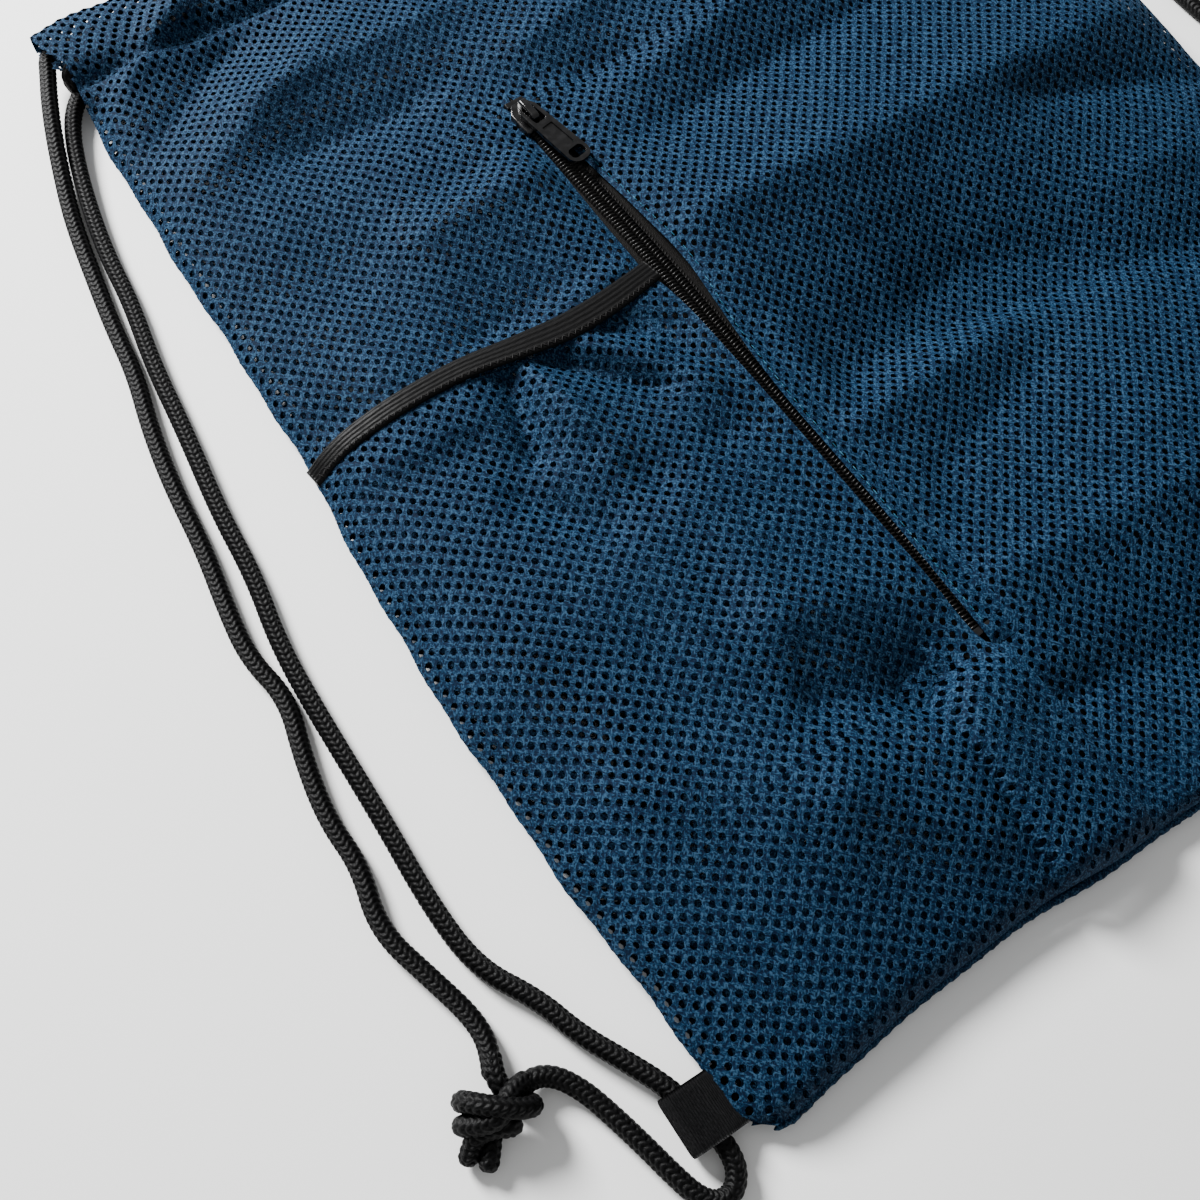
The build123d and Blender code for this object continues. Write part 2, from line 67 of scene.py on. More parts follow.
LEFT_INNER_ROUTE = [
    (-0.1580, 0.1835, 0.0039), (-0.1622, 0.1834, 0.0039), (-0.1662, 0.1818, 0.0042),
    (-0.1700, 0.1778, 0.0044), (-0.1740, 0.1715, 0.0043), (-0.1784, 0.1600, 0.0040),
    (-0.1833, 0.1410, 0.0031), (-0.1872, 0.1190, 0.0028), (-0.1888, 0.0990, 0.0028),
    (-0.1932, 0.0750, 0.0028), (-0.1959, 0.0480, 0.0028), (-0.1997, 0.0200, 0.0028),
    (-0.2010, -0.0040, 0.0028), (-0.2052, -0.0270, 0.0028), (-0.2059, -0.0540, 0.0028),
    (-0.2060, -0.0840, 0.0028), (-0.2070, -0.1110, 0.0028), (-0.2052, -0.1310, 0.0028),
    (-0.1964, -0.1460, 0.0030), (-0.1926, -0.1585, 0.0034), (-0.1864, -0.1705, 0.0039),
    (-0.1816, -0.1805, 0.0042), (-0.1789, -0.1895, 0.0042), (-0.1773, -0.1970, 0.0041),
    (-0.1770, -0.2020, 0.0038), (-0.1779, -0.2064, 0.0034), (-0.1813, -0.2099, 0.0030),
    (-0.1860, -0.2097, 0.0028), (-0.1892, -0.2058, 0.0028), (-0.1913, -0.1986, 0.0028),
    (-0.1934, -0.1895, 0.0028), (-0.1960, -0.1795, 0.0028), (-0.1988, -0.1705, 0.0029),
    (-0.2030, -0.1634, 0.0034), (-0.2086, -0.1606, 0.0044), (-0.2130, -0.1618, 0.0056),
]
RIGHT_OUTER_ROUTE = [
    (0.1580, 0.1860, 0.0130), (0.1632, 0.1860, 0.0127), (0.1690, 0.1838, 0.0118),
    (0.1734, 0.1782, 0.0108), (0.1772, 0.1704, 0.0094), (0.1818, 0.1590, 0.0078),
    (0.1864, 0.1445, 0.0052), (0.1914, 0.1260, 0.0034), (0.1950, 0.1030, 0.0028),
    (0.1982, 0.0800, 0.0028), (0.2034, 0.0570, 0.0028), (0.2050, 0.0330, 0.0028),
    (0.2084, 0.0090, 0.0028), (0.2080, -0.0150, 0.0028), (0.2126, -0.0380, 0.0028),
    (0.2122, -0.0610, 0.0028), (0.2156, -0.0830, 0.0028), (0.2174, -0.1060, 0.0028),
    (0.2136, -0.1260, 0.0028), (0.2108, -0.1400, 0.0029), (0.2112, -0.1495, 0.0038),
    (0.2150, -0.1564, 0.0054),
]
RIGHT_INNER_ROUTE = [
    (0.1580, 0.1840, 0.0039), (0.1632, 0.1840, 0.0039), (0.1690, 0.1820, 0.0042),
    (0.1734, 0.1770, 0.0042), (0.1762, 0.1685, 0.0038), (0.1786, 0.1560, 0.0032),
    (0.1812, 0.1380, 0.0028), (0.1836, 0.1140, 0.0028), (0.1872, 0.0880, 0.0028),
    (0.1880, 0.0620, 0.0028), (0.1906, 0.0380, 0.0028), (0.1902, 0.0140, 0.0028),
    (0.1936, -0.0110, 0.0028), (0.1948, -0.0380, 0.0028), (0.1986, -0.0640, 0.0028),
    (0.1996, -0.0910, 0.0028), (0.2022, -0.1150, 0.0028), (0.1998, -0.1340, 0.0028),
    (0.1946, -0.1480, 0.0030), (0.1912, -0.1600, 0.0034), (0.1858, -0.1710, 0.0039),
    (0.1818, -0.1805, 0.0042), (0.1793, -0.1895, 0.0042), (0.1780, -0.1970, 0.0041),
    (0.1780, -0.2020, 0.0038), (0.1792, -0.2064, 0.0034), (0.1828, -0.2096, 0.0030),
    (0.1874, -0.2090, 0.0028), (0.1902, -0.2048, 0.0028), (0.1916, -0.1976, 0.0028),
    (0.1930, -0.1885, 0.0028), (0.1952, -0.1785, 0.0028), (0.1974, -0.1700, 0.0029),
    (0.2012, -0.1632, 0.0034), (0.2074, -0.1606, 0.0044), (0.2122, -0.1618, 0.0056),
]
# The two strands of a knot, for the left one. The right knot is its mirror image.
KNOT_STRANDS = [
    [
        (-0.2130, -0.1500, 0.0042), (-0.2158, -0.1556, 0.0058), (-0.2150, -0.1610, 0.0040),
        (-0.2118, -0.1650, 0.0038), (-0.2108, -0.1672, 0.0072), (-0.2150, -0.1655, 0.0108),
        (-0.2205, -0.1610, 0.0122), (-0.2248, -0.1568, 0.0098), (-0.2256, -0.1560, 0.0050),
        (-0.2220, -0.1600, 0.0030), (-0.2222, -0.1655, 0.0032), (-0.2256, -0.1700, 0.0034),
        (-0.2284, -0.1732, 0.0030),
    ],
    [
        (-0.2086, -0.1606, 0.0046), (-0.2140, -0.1606, 0.0082), (-0.2190, -0.1650, 0.0104),
        (-0.2240, -0.1638, 0.0094), (-0.2286, -0.1608, 0.0060), (-0.2270, -0.1612, 0.0030),
        (-0.2210, -0.1662, 0.0032), (-0.2168, -0.1682, 0.0050), (-0.2200, -0.1664, 0.0078),
        (-0.2256, -0.1646, 0.0064), (-0.2290, -0.1664, 0.0040), (-0.2318, -0.1692, 0.0030),
    ],
]


# ---- meshes ----
def add_object(name, data):
    """A new object in the scene."""
    thing = bpy.data.objects.new(name, data)
    bpy.context.scene.collection.objects.link(thing)
    return thing


def make_mesh(name, points, faces, sharp=None):
    """A mesh object from points in millimetres and lists of faces, each an array of 3 or 4 corners.

    sharp tells which edges are sharp, from the numbers of their two points."""
    mesh = bpy.data.meshes.new(name)
    points = np.asarray(points, float) * MM
    groups = [np.asarray(f, np.int32) for f in faces if len(f)]
    corners = np.concatenate([f.reshape(-1) for f in groups])
    sizes = np.concatenate([np.full(len(f), f.shape[1]) for f in groups])
    starts = np.concatenate([[0], np.cumsum(sizes)[:-1]])
    mesh.vertices.add(len(points))
    mesh.vertices.foreach_set("co", points.reshape(-1))
    mesh.loops.add(len(corners))
    mesh.loops.foreach_set("vertex_index", corners)
    mesh.polygons.add(len(sizes))
    mesh.polygons.foreach_set("loop_start", starts.astype(np.int32))
    mesh.update(calc_edges=True)
    mesh.validate()
    mesh.shade_smooth()
    if sharp:
        ends = np.zeros(len(mesh.edges) * 2, np.int32)
        mesh.edges.foreach_get("vertices", ends)
        mesh.edges.foreach_set("use_edge_sharp", sharp(ends[0::2], ends[1::2]))
    return add_object(name, mesh)


def finish_piece(piece, material, slot, *nodes, body="bag"):
    """The material of a piece, the body that it rides on, and the CAD nodes that it stands for."""
    piece.data.materials.append(material)
    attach(piece, body)
    if nodes:
        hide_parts(*nodes)
    return piece


def grid_faces(rows, columns, closed=False):
    """Quads between the points of a grid. A closed grid joins its last column to its first one."""
    last = columns if closed else columns - 1
    row, column = np.meshgrid(np.arange(rows - 1), np.arange(last), indexing="ij")
    here = (row * columns + column).reshape(-1)
    beside = (row * columns + (column + 1) % columns).reshape(-1)
    return np.stack([here, beside, beside + columns, here + columns], 1)


def grid_mesh(name, rows, flip=False):
    """A mesh from rows of points, all of the same length."""
    rows = np.array(rows, float)
    faces = grid_faces(rows.shape[0], rows.shape[1])
    return make_mesh(name, rows.reshape(-1, 3), [faces[:, ::-1] if flip else faces])


def smooth_step(value, low, high):
    t = np.clip((value - low) / (high - low), 0, 1)
    return t * t * (3 - 2 * t)


def hill(value, top, spread):
    """A bell curve of height 1."""
    return np.exp(-(((value - top) / spread) ** 2))


def along_line(value, stations, heights):
    """A smooth curve through given stations."""
    value = np.asarray(value, float)
    stations, heights = np.asarray(stations, float), np.asarray(heights, float)
    i = np.clip(np.searchsorted(stations, value) - 1, 0, len(stations) - 2)
    slopes = np.gradient(heights, stations)
    gap = stations[i + 1] - stations[i]
    t = np.clip((value - stations[i]) / gap, 0, 1)
    rise = heights[i] * (2 * t**3 - 3 * t**2 + 1) + heights[i + 1] * (3 * t**2 - 2 * t**3)
    return rise + gap * (slopes[i] * (t**3 - 2 * t**2 + t) + slopes[i + 1] * (t**3 - t**2))


# ---- the shape of the cloth, in millimetres ----
ZIP_MIDDLE = (-45.2, -17.5)
ZIP_TILT = math.radians(2.48)
ZIP_HALF = 115.0  # half of the zip's length
ZIP_ACROSS = np.array([math.cos(ZIP_TILT), math.sin(ZIP_TILT), 0.0])
TUNNEL_Y = 176.0  # the seam under the drawstring tunnels
EDGE_Z = 4.6  # height of the side seams
CLOTH_Z = 13.2  # height of the front cloth where it has no folds
MOUTH_Z = 13.6  # height of the front cloth at the tunnel
LOWEST_Z = 3.4  # the front cloth's valleys flatten out at about this height
ELASTIC_Z = 15.2  # height of the elastic, and of the pocket's edge, at the zip


def zip_x(y):
    """X of the zip's line. It bows a little to the right in its upper half."""
    return ZIP_MIDDLE[0] - (y - ZIP_MIDDLE[1]) * math.tan(ZIP_TILT) + 1.2 * hill(y, 22, 42)


def round_corner(y):
    """How far a side turns in at its bottom corner."""
    low = np.clip((-193.0 - y) / 9.0, 0, 1)
    return 6.0 * (1 - np.sqrt(1 - low**2))


def left_x(y):
    """X of the bag's left edge."""
    stations = (-206, -181, -124, -85, -43, 10, 23, 68, 100, 162, 178, 206)
    half_widths = (170.2, 171.7, 175.5, 176.5, 176.0, 172.2, 171.4, 170.9, 170.6, 168.4, 167.0, 166.4)
    uneven = 0.35 * np.sin(y / 9.0) + 0.25 * np.sin(y / 3.7 + 1.0)
    return -along_line(y, stations, half_widths) + round_corner(y) + uneven


def right_x(y):
    """X of the bag's right edge."""
    belly = 3.4 * hill(y, 34, 26) + 4.0 * hill(y, -90, 60)
    uneven = 0.4 * np.sin(y / 10.0 + 2.0) + 0.25 * np.sin(y / 4.1)
    return 168.6 + belly - round_corner(y) + uneven


def bottom_y(x):
    """Y of the bag's bottom edge."""
    return -201.8 + 3.0 * hill(x, -92, 36) - 2.6 * hill(x, -162, 12) + 0.35 * np.sin(x / 7.0)


def top_y(x):
    """Y of the front tunnel's upper fold."""
    return 203.6 - 5.0 * hill(np.abs(x), 172, 13) + 0.8 * np.sin(x / 17.0)


# A fold: its crest from (x0, y0) to (x1, y1), its height, how far it spreads to the left and to
# the right of that direction, and how round its crest is. A negative height is a valley. All
# heights are multiplied by FOLD_STRENGTH.
PANEL_FOLDS = [
    # right of the zip
    (-30, 24, 128, 20, 6.0, 30, 30, 3.0),
    (-30, -42, 44, -42, -4.6, 30, 13, 3.0),
    (44, -42, 122, -68, -4.6, 26, 14, 3.0),
    (-30, -60, 26, -56, 2.4, 9, 9, 2.5),
    (-26, -88, 24, -74, -1.6, 9, 12, 3.0),
    (112, 4, 164, -14, -3.2, 12, 10, 2.5),
    (118, -34, 166, -40, 1.6, 9, 12, 3.0),
    (4, 66, 84, 74, -2.6, 10, 16, 2.5),
    (8, 88, 78, 98, 2.4, 14, 9, 3.0),
    (-44, 99, -8, 96, -1.8, 7, 9, 2.0),
    (-46, 113, 14, 124, 2.2, 12, 8, 2.5),
    (-24, -122, 40, -128, 2.4, 12, 18, 4.0),
    (-34, -158, 20, -172, -2.4, 16, 10, 3.0),
    (60, 140, 150, 150, 2.5, 20, 20, 6.0),
    (60, -110, 150, -130, 3.0, 20, 26, 6.0),
    (70, -160, 150, -168, -2.0, 14, 14, 6.0),
    # left of the zip, above the pocket
    (-162, 164, -124, 188, 2.2, 5, 6, 2.0),
    (-160, 178, -142, 198, -1.8, 6, 6, 2.0),
    (-148, 150, -104, 178, -3.0, 10, 9, 2.5),
    (-146, 124, -100, 146, 1.8, 8, 8, 3.0),
    (-116, 140, -62, 142, 2.2, 10, 9, 2.5),
    (-112, 116, -64, 114, -2.4, 10, 10, 2.5),
    (-80, 80, -52, 82, -1.2, 7, 8, 2.5),
    (-100, 64, -64, 66, 3.4, 14, 14, 4.0),
    (-104, 27, -58, 27, -3.2, 14, 8, 3.0),
    (-160, 74, -120, 66, -1.6, 14, 18, 5.0),
    (-164, 24, -150, 22, -1.4, 9, 8, 3.0),
    (-140, 26, -118, 28, 1.6, 14, 10, 4.0),
]
POCKET_FOLDS = [
    (-108, 8, -115, -16, -3.6, 5, 5, 1.4),
    (-94, 7, -73, -16, -3.8, 5, 5, 1.4),
    (-72, 8, -52, -4, -3.8, 4, 5, 1.4),
    (-102, 4, -98, -30, 2.6, 6, 6, 2.0),
    (-80, 2, -60, -24, 2.2, 6, 6, 2.0),
    (-58, -10, -50, -22, -1.6, 4, 4, 1.6),
    (-126, -30, -112, -48, -1.8, 5, 6, 2.0),
    (-100, -28, -92, -44, -1.6, 6, 5, 2.0),
    (-64, -42, -44, -44, -1.6, 5, 6, 2.0),
    (-162, -6, -134, -7, -0.9, 7, 7, 2.5),
    (-160, 1, -130, 0, 0.8, 5, 7, 2.0),
    (-128, -8, -120, -36, -0.9, 5, 5, 2.0),
    (-88, -99, -50, -112, 2.8, 18, 12, 5.0),
    (-108, -98, -74, -104, 0.9, 18, 16, 8.0),
    (-92, -124, -66, -137, -2.6, 13, 7, 3.0),
    (-66, -137, -50, -132, -3.4, 13, 5, 2.0),
    (-54, -141, -46, -150, 1.4, 6, 7, 2.0),
    (-150, -120, -104, -140, 1.8, 16, 22, 6.0),
    (-150, -70, -90, -62, 1.6, 24, 24, 8.0),
    (-120, -148, -60, -156, 1.4, 10, 34, 6.0),
    (-102, -150, -80, -176, 1.6, 12, 8, 3.0),
]
FOLD_STRENGTH = 1.9


def folds(x, y, table, fading=0.35):
    """The summed height of every fold in a table. Past its ends, a fold fades over a share of its length."""
    total = np.zeros_like(x)
    for x0, y0, x1, y1, height, left, right, soft in table:
        length = math.hypot(x1 - x0, y1 - y0)
        ux, uy = (x1 - x0) / length, (y1 - y0) / length
        along = (x - x0) * ux + (y - y0) * uy
        aside = -(x - x0) * uy + (y - y0) * ux
        spread = np.where(aside > 0, left, right)
        across = np.exp((soft - np.sqrt(aside**2 + soft**2)) / spread)
        past = np.maximum(np.maximum(-along, along - length), 0)
        reach = fading * length + 4
        total += FOLD_STRENGTH * height * across * hill(past, 0, reach)
    return total


def crinkle(x, y):
    """Small unevenness of the cloth, some tenths of a millimetre."""
    a = np.sin(x / 13.0 + 0.6 * np.sin(y / 21.0)) * np.sin(y / 11.0 + 0.8 * np.sin(x / 17.0))
    b = np.sin((x + y) / 6.3 + np.sin(y / 9.0)) * np.sin((x - y) / 7.1)
    return 0.35 * a + 0.16 * b


def inset(x, y):
    """Distance from the side and bottom edges, with a rounded corner."""
    sides = np.minimum(x - left_x(y), right_x(y) - x)
    floor = 4.4 * (y - bottom_y(x))
    near, far = np.minimum(sides, floor), np.maximum(sides, floor)
    return near - 3.0 * np.exp(-(far - near) / 4.0)


def sink(x, y):
    """How much lower the cloth lies towards the bottom, less so beside the pleat."""
    up = y - bottom_y(x)
    return (1 - smooth_step(up, -25, 58)) * (1 - 0.55 * smooth_step(x, -70, -62) * smooth_step(-x, 30, 46))


def swell(x, y, width):
    """How far the cloth has risen from a side or bottom edge, from 0 at the edge to 1, and the
    same for its folds."""
    from_edge = np.maximum(inset(x, y), 0)
    return 1 - np.exp(-((from_edge / width) ** 0.9)), 1 - np.exp(-from_edge / 11.0)


def front_z(x, y):
    """Height of the front cloth: folds over a flat pillow, held at the zip and at the tunnel's seam."""
    x, y = np.asarray(x, float), np.asarray(y, float)
    rise, fade = swell(x, y, 7.5)
    shape = folds(x, y, PANEL_FOLDS)
    # beside the zip there are only low crests, so that the tapes and coils stay clear
    aside = np.abs(x - zip_x(y))
    beside = 1 - smooth_step(np.abs(y - ZIP_MIDDLE[1]), ZIP_HALF + 8, ZIP_HALF + 30)
    near_zip = (1 - smooth_step(aside, 14, 30)) * beside
    sewn = 1 - beside * np.exp(-np.maximum(aside - 5, 0) / 6.0)
    lift = 0.5 + np.maximum(shape, 0) * sewn
    shape = shape * (1 - near_zip) + lift * near_zip
    # the pillow, whose valleys flatten out softly
    flat = EDGE_Z + (CLOTH_Z - EDGE_Z - 4.6 * sink(x, y)) * rise + (shape + crinkle(x, y)) * fade
    flat = 0.5 * (flat + LOWEST_Z + np.sqrt((flat - LOWEST_Z) ** 2 + 1.4))
    # the tunnel, which the cord fills, and its seam
    mouth = MOUTH_Z + (np.maximum(shape, -1.0) + crinkle(x, y)) * fade
    mouth_share = smooth_step(y, 164, 180)
    tunnel = smooth_step(y, TUNNEL_Y, TUNNEL_Y + 10) - 0.3 * smooth_step(y, 197, 205)
    seam = hill(y, TUNNEL_Y + 1, 2)
    return flat * (1 - mouth_share) + mouth * mouth_share + 3.6 * tunnel - 1.1 * seam


def elastic_z(x):
    """Height of the elastic's lower face."""
    stations = (-178, -172, -168, -162, -150, -120, -90, -60, -46)
    return along_line(x, stations, (EDGE_Z, 6.4, 9.4, 12.6, 15.4, 17.0, 17.0, 16.0, ELASTIC_Z))


def under_elastic(x, y, z, lower):
    """The height of cloth, held down where the elastic runs over it."""
    held = hill(y, elastic_y(x), 5.5)
    return z * (1 - held) + (elastic_z(x) - lower) * held


def under_pocket_z(x, y):
    """Height of the front cloth, which lies lower where the pocket covers it."""
    lowered = 3.4 * (1 - smooth_step(y, 2, 20))
    z = np.maximum(front_z(x, y) - lowered * (1 - np.exp(-inset(x, y) / 10.0)), EDGE_Z - 0.6)
    return under_elastic(x, y, z, 1.3)


def pocket_edge_x(y):
    """X of the pocket's right edge, which laps over the zip."""
    stations = (-205, -134, -118, -104, -84, -60, -20, 0, 14)
    over = along_line(y, stations, (-3.4, -3.5, -3.4, -3.1, -2.8, -2.4, -2.7, -3.6, -5.4))
    closed = smooth_step(-y, 134.0, 137.0)
    return zip_x(y) + over * (1 - closed) + 1.2 * closed


def elastic_y(x):
    """Y of the elastic's middle line."""
    stations = (-176, -160, -140, -120, -100, -85, -70, -58, -46)
    return along_line(x, stations, (12.4, 14.6, 16.0, 16.2, 13.8, 12.5, 13.4, 15.4, 17.8))


def pocket_top_y(x):
    """Y of the pocket cloth's upper edge, under the elastic."""
    return elastic_y(x) - 3.6


def pocket_z(x, y):
    """Height of the side pocket's cloth: folds, and a pleat at the bottom end of the zip."""
    x, y = np.asarray(x, float), np.asarray(y, float)
    rise, fade = swell(x, y, 8.5)
    shape = folds(x, y, POCKET_FOLDS, 0.15)
    low = 7.4 * sink(x, y)
    body = EDGE_Z + 0.5 + (16.4 - EDGE_Z - low) * rise + (shape + crinkle(x, y)) * fade
    # at the zip it has one height, and its folds die out
    to_zip = np.maximum(pocket_edge_x(y) - x, 0)
    valleys = np.minimum(shape, 0) * smooth_step(to_zip, 5, 12) * smooth_step(-y, 100, 116)
    at_zip = EDGE_Z + 0.5 + (ELASTIC_Z - EDGE_Z - low) * rise + (0.35 * np.maximum(shape, 0) + valleys)
    zip_share = np.exp(-to_zip / 14.0)
    # the pleat: a groove along its crease, and doubled cloth to the right of it
    crease = -64.0 + (y + 142) * 0.055
    doubled = 1.9 * smooth_step(x, crease - 0.6, crease + 0.8)
    pleat = smooth_step(-y, 134, 144) * (doubled - 1.7 * hill(x, crease - 1.4, 1.3))
    z = body * (1 - zip_share) + at_zip * zip_share + pleat * fade
    over_tape = 13.5 * smooth_step(y, -143, -138) * smooth_step(-to_zip, -17, -13)
    return under_elastic(x, y, np.maximum(z, over_tape), 0.5)


def back_z(x, y):
    """Height of the back cloth: flat on the table, turned up at the edges."""
    from_edge = np.maximum(inset(x, y), 0)
    return 0.55 + (EDGE_Z - 1.0) * np.exp(-((from_edge / 3.6) ** 1.2)) + 0.25 * (1 + crinkle(x, y))


# ---- open mesh cloth ----
CELL_X = 4.5  # width of a cell, which has one hole at its middle and a quarter at each corner
CELL_Y = 4.575
HOLE_X = 0.94  # half of a hole's width
HOLE_Y = 1.14  # half of its height
LIP_DROP = 0.5  # how far its lip turns down
LIP_SHARE = 0.94  # how much of the hole is still open at the bottom of its lip
HOLE_SIDES = 8  # points round a hole
HOLE_UNEVEN = 0.035  # how far a hole's place and size vary, in millimetres and as a share
HOLE_LEAN = 0.05  # how far it leans sideways, as a share of its height
YARN_CROWN = 0.08  # how much the yarn rises between the holes


def mesh_cloth(name, nodes, across, up, place, height, below=1.0, whole=None):
    """Cloth with real oval holes in a centred lattice, cut through along its edges.

    across and up are its width and height. place(s, t) turns shares of them into X and Y.
    height(x, y) then gives the Z of those same points, or of points close round each of them.
    The lips of the holes turn down, or up where below is -1. whole(x, y) tells where an edge has
    no cut holes."""
    columns, rows = 2 * round(across / CELL_X), 2 * round(up / CELL_Y)
    p, q = np.meshgrid(np.arange(columns + 1), np.arange(rows + 1), indexing="ij")
    corner = ((p == 0) | (p == columns)) & ((q == 0) | (q == rows))
    knot = ((p + q) % 2 == 1) | corner  # where the yarns meet; the holes lie between

    # the points where the yarns meet
    number = np.full(p.shape, -1)
    number[knot] = np.arange(knot.sum())
    x, y = place(p[knot] / columns, q[knot] / rows)
    points = [np.stack([x, y, height(x, y) + YARN_CROWN * below], 1)]
    first = len(x)

    # the holes' middles and sizes: uneven, but exact on the cloth's edges
    p, q = p[~knot], q[~knot]
    in_p, in_q = np.clip(p, 1, columns - 1), np.clip(q, 1, rows - 1)
    wide = place((in_p + 1) / columns, q / rows)[0] - place((in_p - 1) / columns, q / rows)[0]
    tall = place(p / columns, (in_q + 1) / rows)[1] - place(p / columns, (in_q - 1) / rows)[1]
    middle_x, middle_y = place(p / columns, q / rows)
    count = len(middle_x)
    x = middle_x + rng.normal(0, HOLE_UNEVEN, count)
    y = middle_y + rng.normal(0, HOLE_UNEVEN, count)
    size = 1 + rng.normal(0, HOLE_UNEVEN, count)
    lean = rng.normal(0, HOLE_LEAN, count)
    has = [p < columns, q < rows, p > 0, q > 0]  # is there cloth to the right, above, left, below
    at_side, at_end = ~(has[0] & has[2]), ~(has[1] & has[3])
    x[at_side] = middle_x[at_side]
    y[at_end] = middle_y[at_end]
    size[at_side | at_end] = 1.0
    lean[at_side | at_end] = 0.0

    # each hole's rim, and below it the ring at the bottom of its lip
    for share, drop in ((1.0, 0.0), (LIP_SHARE, LIP_DROP)):
        for k in range(HOLE_SIDES):
            turn = 2 * math.pi * k / HOLE_SIDES
            dx = HOLE_X * share * size * math.cos(turn) * (wide / CELL_X)
            dy = HOLE_Y * share * size * math.sin(turn) * (tall / CELL_Y)
            rim_x, rim_y = x + dx + lean * dy, y + dy
            points.append(np.stack([rim_x, rim_y, height(rim_x, rim_y) - drop * below], 1))
    rings = first + np.arange(2 * HOLE_SIDES * count).reshape(2 * HOLE_SIDES, count)
    top, low = rings[:HOLE_SIDES], rings[HOLE_SIDES:]

    # faces between each hole and the four points around it; holes are left out where the edge is whole
    around = [
        number[np.minimum(p + 1, columns), q],
        number[p, np.minimum(q + 1, rows)],
        number[np.maximum(p - 1, 0), q],
        number[p, np.maximum(q - 1, 0)],
    ]
    filled = (at_side | at_end) & (whole(x, y) if whole else False)
    triangles, quads = [], []
    for side in range(4):
        good = has[side] & has[(side + 1) % 4] & ~filled
        a, b = around[side], around[(side + 1) % 4]
        k0, k1, k2 = 2 * side, 2 * side + 1, (2 * side + 2) % HOLE_SIDES
        for corners in ((a, top[k1], top[k0]), (a, b, top[k1]), (b, top[k2], top[k1])):
            triangles.append(np.stack(corners, 1)[good])
        for k, after in ((k0, k1), (k1, k2)):
            quads.append(np.stack([top[k], top[after], low[after], low[k]], 1)[good])
        opposite = filled & ~has[(side + 2) % 4]
        triangles.append(np.stack([around[(side + 3) % 4], a, b], 1)[opposite])
    for i, j, di, dj in ((0, 0, 1, 1), (columns, 0, -1, 1), (0, rows, 1, -1), (columns, rows, -1, -1)):
        corners = [number[i, j], number[i + di, j], number[i, j + dj]]
        triangles.append([corners if di * dj > 0 else corners[::-1]])
    triangles, quads = np.concatenate(triangles), np.concatenate(quads)

    # the points that no face uses go
    used, fresh = np.unique(np.concatenate([triangles.reshape(-1), quads.reshape(-1)]), return_inverse=True)
    fresh = fresh.reshape(-1)
    triangles, quads = fresh[: triangles.size].reshape(-1, 3), fresh[triangles.size :].reshape(-1, 4)
    if below < 0:
        triangles, quads = triangles[:, ::-1], quads[:, ::-1]

    def on_one_rim(a, b):
        a, b = used[a] - first, used[b] - first
        on_rims = (a >= 0) & (b >= 0) & (a < HOLE_SIDES * count) & (b < HOLE_SIDES * count)
        return on_rims & (a % count == b % count)

    piece = make_mesh(name, np.concatenate(points)[used], [triangles, quads], on_one_rim)
    return finish_piece(piece, blue_mesh, "mesh_cloth", *nodes)


# ---- materials ----
def new_material(name, roughness, specular=0.5, **constant):
    """A material, its nodes, its shader, and the object's own coordinates."""
    material = bpy.data.materials.new(name)
    material.use_nodes = True
    tree = material.node_tree
    shader = tree.nodes["Principled BSDF"]
    shader.inputs["Roughness"].default_value = roughness
    shader.inputs["Specular IOR Level"].default_value = specular
    for socket, value in constant.items():
        shader.inputs[socket.replace("_", " ").title()].default_value = value
    where = tree.nodes.new("ShaderNodeTexCoord")
    return material, tree, shader, where.outputs["Object"]


def noise(tree, where, scale, detail=2.0, stretch=(1, 1, 1), turn=0.0):
    """Noise, stretched along an axis and turned round Z by some degrees."""
    if turn:
        turned = tree.nodes.new("ShaderNodeMapping")
        turned.inputs["Rotation"].default_value = (0, 0, math.radians(turn))
        tree.links.new(where, turned.inputs["Vector"])
        where = turned.outputs["Vector"]
    mapping = tree.nodes.new("ShaderNodeMapping")
    mapping.inputs["Scale"].default_value = stretch
    tree.links.new(where, mapping.inputs["Vector"])
    texture = tree.nodes.new("ShaderNodeTexNoise")
    texture.inputs["Scale"].default_value = scale
    texture.inputs["Detail"].default_value = detail
    tree.links.new(mapping.outputs["Vector"], texture.inputs["Vector"])
    return texture.outputs["Fac"]


def ramp(tree, factor, *stops):
    """A colour ramp. Each stop is a position and a linear colour."""
    node = tree.nodes.new("ShaderNodeValToRGB")
    band = node.color_ramp
    while len(band.elements) < len(stops):
        band.elements.new(0.5)
    for element, (position, colour) in zip(band.elements, stops):
        element.position = position
        element.color = (*colour, 1)
    tree.links.new(factor, node.inputs["Fac"])
    return node.outputs["Color"]


def math_node(tree, operation, a, b):
    node = tree.nodes.new("ShaderNodeMath")
    node.operation = operation
    tree.links.new(a, node.inputs[0])
    tree.links.new(b, node.inputs[1])
    return node.outputs["Value"]


def bump(tree, shader, factor, strength, distance):
    node = tree.nodes.new("ShaderNodeBump")
    node.inputs["Strength"].default_value = strength
    node.inputs["Distance"].default_value = distance
    tree.links.new(factor, node.inputs["Height"])
    tree.links.new(node.outputs["Normal"], shader.inputs["Normal"])


def paint(tree, shader, factor, *stops):
    """The base colour, from a ramp over a factor."""
    tree.links.new(ramp(tree, factor, *stops), shader.inputs["Base Color"])


